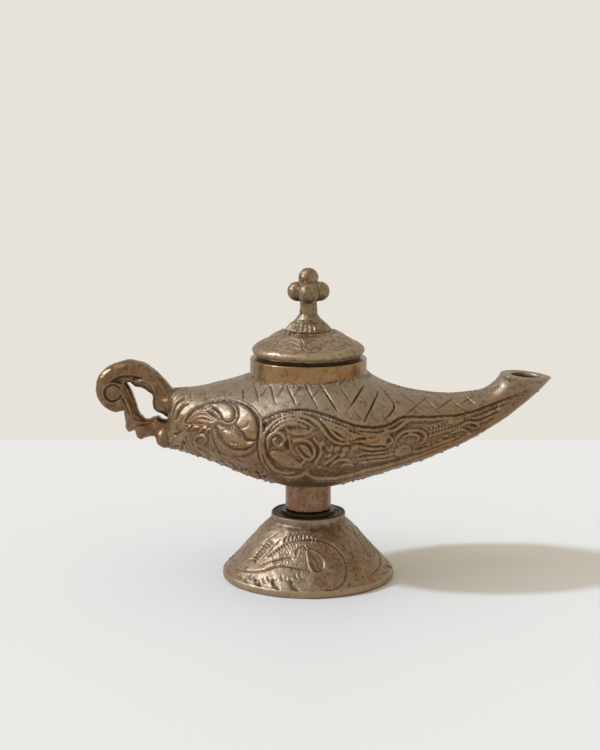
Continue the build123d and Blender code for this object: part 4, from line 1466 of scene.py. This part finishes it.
def handle_outline():
    """The handle's closed outline as (x, z), with its feet run on into the bowl."""

    def place(shares):
        """A point given in shares of the handle's length and reach."""
        reach = handle_rise if shares[1] > 0 else root_crown[1] - root_keel[1]
        return (root_crown[0] - handle_length * (1 - shares[0]), root_crown[1] + reach * shares[1])

    def root(share, inward=0.0):
        """A point on the bowl's end, this share of the way from crown to keel."""
        x, z = (a + (b - a) * share for a, b in zip(root_crown, root_keel))
        return (x + inward, z)

    arch = [root(0)] + [place(s) for s in arch_shares]
    spurs = [place(s) for s in spur_shares] + [root(1), root(1, handle_overlap)]
    lower = [root(lower_foot_share)] + [place(s) for s in lower_gap_shares]
    upper = [place(s) for s in upper_gap_shares] + [root(upper_foot_share)]
    parts = [
        curve_through(arch),
        walk([arch[-1]] + spurs + [root(lower_foot_share, handle_overlap), lower[0]], 0.4),
        curve_through(lower),
        curve_through(upper),
        walk([upper[-1], root(upper_foot_share, handle_overlap), root(0, handle_overlap), arch[0]], 0.4),
    ]
    return np.concatenate([np.array(p) for p in parts])


def flat_distance(x, z, outline):
    """Signed distance in the plane to a closed outline, negative inside."""
    best = np.full(x.shape, np.inf)
    inside = np.zeros(x.shape, bool)
    for (ax, az), (bx, bz) in zip(outline, np.roll(outline, -1, 0)):
        dx, dz = bx - ax, bz - az
        square = dx * dx + dz * dz
        if square < 1e-9:
            continue
        t = np.clip(((x - ax) * dx + (z - az) * dz) / square, 0, 1)
        best = np.minimum(best, (x - ax - t * dx) ** 2 + (z - az - t * dz) ** 2)
        inside ^= ((az > z) != (bz > z)) & (x < ax + (z - az) / (dz + 1e-12) * dx)
    return np.where(inside, -1, 1) * np.sqrt(best)


def handle_field(x, y, z):
    """Distance to the handle: its outline made thick with round edges, and lobes of braze."""
    flat = flat_distance(x[:, 0], z[:, 0], handle_outline())[:, None, :]
    side = np.abs(y) - handle_thickness / 2 + handle_edge_round
    flat = flat + handle_edge_round
    outside = np.sqrt(np.maximum(flat, 0) ** 2 + np.maximum(side, 0) ** 2)
    shape = np.minimum(np.maximum(flat, side), 0) + outside - handle_edge_round
    for share, aside, radius in root_lobes:
        cx, cz = (a + (b - a) * share for a, b in zip(root_crown, root_keel))
        lobe = np.sqrt((x - cx) ** 2 + (np.abs(y) - aside) ** 2 + (z - cz) ** 2) - radius
        shape = blended(shape, lobe, lobe_blend)
    return shape


def carve_handle(relief):
    """The volute's disc in its ring, the bars' ridges and the leaf inside the arch."""
    relief.height += 0.10 * lumps(relief.points, 6, 41) + 0.05 * lumps(relief.points, 2, 42)
    relief.ground += relief.height
    hollow = [
        (108, 384), (112.6, 379.4), (120, 376), (128.4, 375), (137, 376.4), (143, 378.4), (137, 380),
        (132.8, 381.6),
        (127.2, 379.6), (123.6, 383.6), (119.4, 384.4), (113, 383.6),
    ]
    relief.sink(hollow, 1.3, 1.0)
    ring = [(112.9 + 8.2 * math.cos(a), 393.4 + 8.2 * math.sin(a)) for a in np.linspace(0.2, 5.6, 15)]
    relief.stroke(relief.lay(ring), 1.1, -0.7, (0.6, 0.5))
    cuts = (
        [(122, 399), (126, 404), (128, 411), (129.6, 416)],
        [(125, 388.6), (129, 396), (132.6, 404), (136, 412)],
        [(131, 418), (138, 419.6), (146, 420.6), (155, 421)],
        [(135, 427), (144, 424.6), (152, 423)],
    )
    relief.draw(cuts, 1.1, -0.55, (0.5, 0.4))
    ridges = (
        [(148.8, 372.9), (155.4, 378.7), (161.3, 386.1), (165.7, 392.7), (167.9, 396.4)],
        [(120, 392), (124.6, 398), (128.4, 406), (131.6, 414)],
        [(137.6, 382.6), (143.7, 380.6), (149.6, 383.4), (154, 388.6), (156, 394)],
    )
    relief.draw(ridges, 1.6, 0.55, (0.5, 0.4))


def build_handle():
    """The cast handle, carved alike on both sides."""
    outline = handle_outline()
    side = handle_thickness / 2 + lobe_room
    low = (outline[:, 0].min(), -side, outline[:, 1].min())
    high = (outline[:, 0].max() + lobe_room, side, outline[:, 1].max() + lobe_room)
    points, faces = field_mesh(low, high, handle_cell, handle_field)
    normals = vertex_normals(points, faces)
    relief = Relief(points, normals, faces, (np.eye(3), np.diag([1, -1, 1])))
    carve_handle(relief)
    shape = relief.carved()
    recess = hollowness(shape, faces, 16)
    add_piece("handle_skin", shape, faces, handle_brass, "root", ["handle"], recess)


build_bowl()
build_foot()
build_crust()
build_lid()
build_finial()
build_handle()

for node, material in (
    ("collar", turned_brass),
    # The sleeve's near black is painted shade for the gap under the lid.
    ("lid_sleeve", sleeve_shade_brass),
    ("stem", stem_brass),
    ("seat_washer", verdigris),
    ("foot_screw", steel),
    ("foot_screw_washer", steel),
    ("finial_nut", steel),
):
    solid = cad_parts[node]
    solid.data.materials.clear()
    solid.data.materials.append(material)

bpy.context.scene.view_settings.view_transform = "Standard"
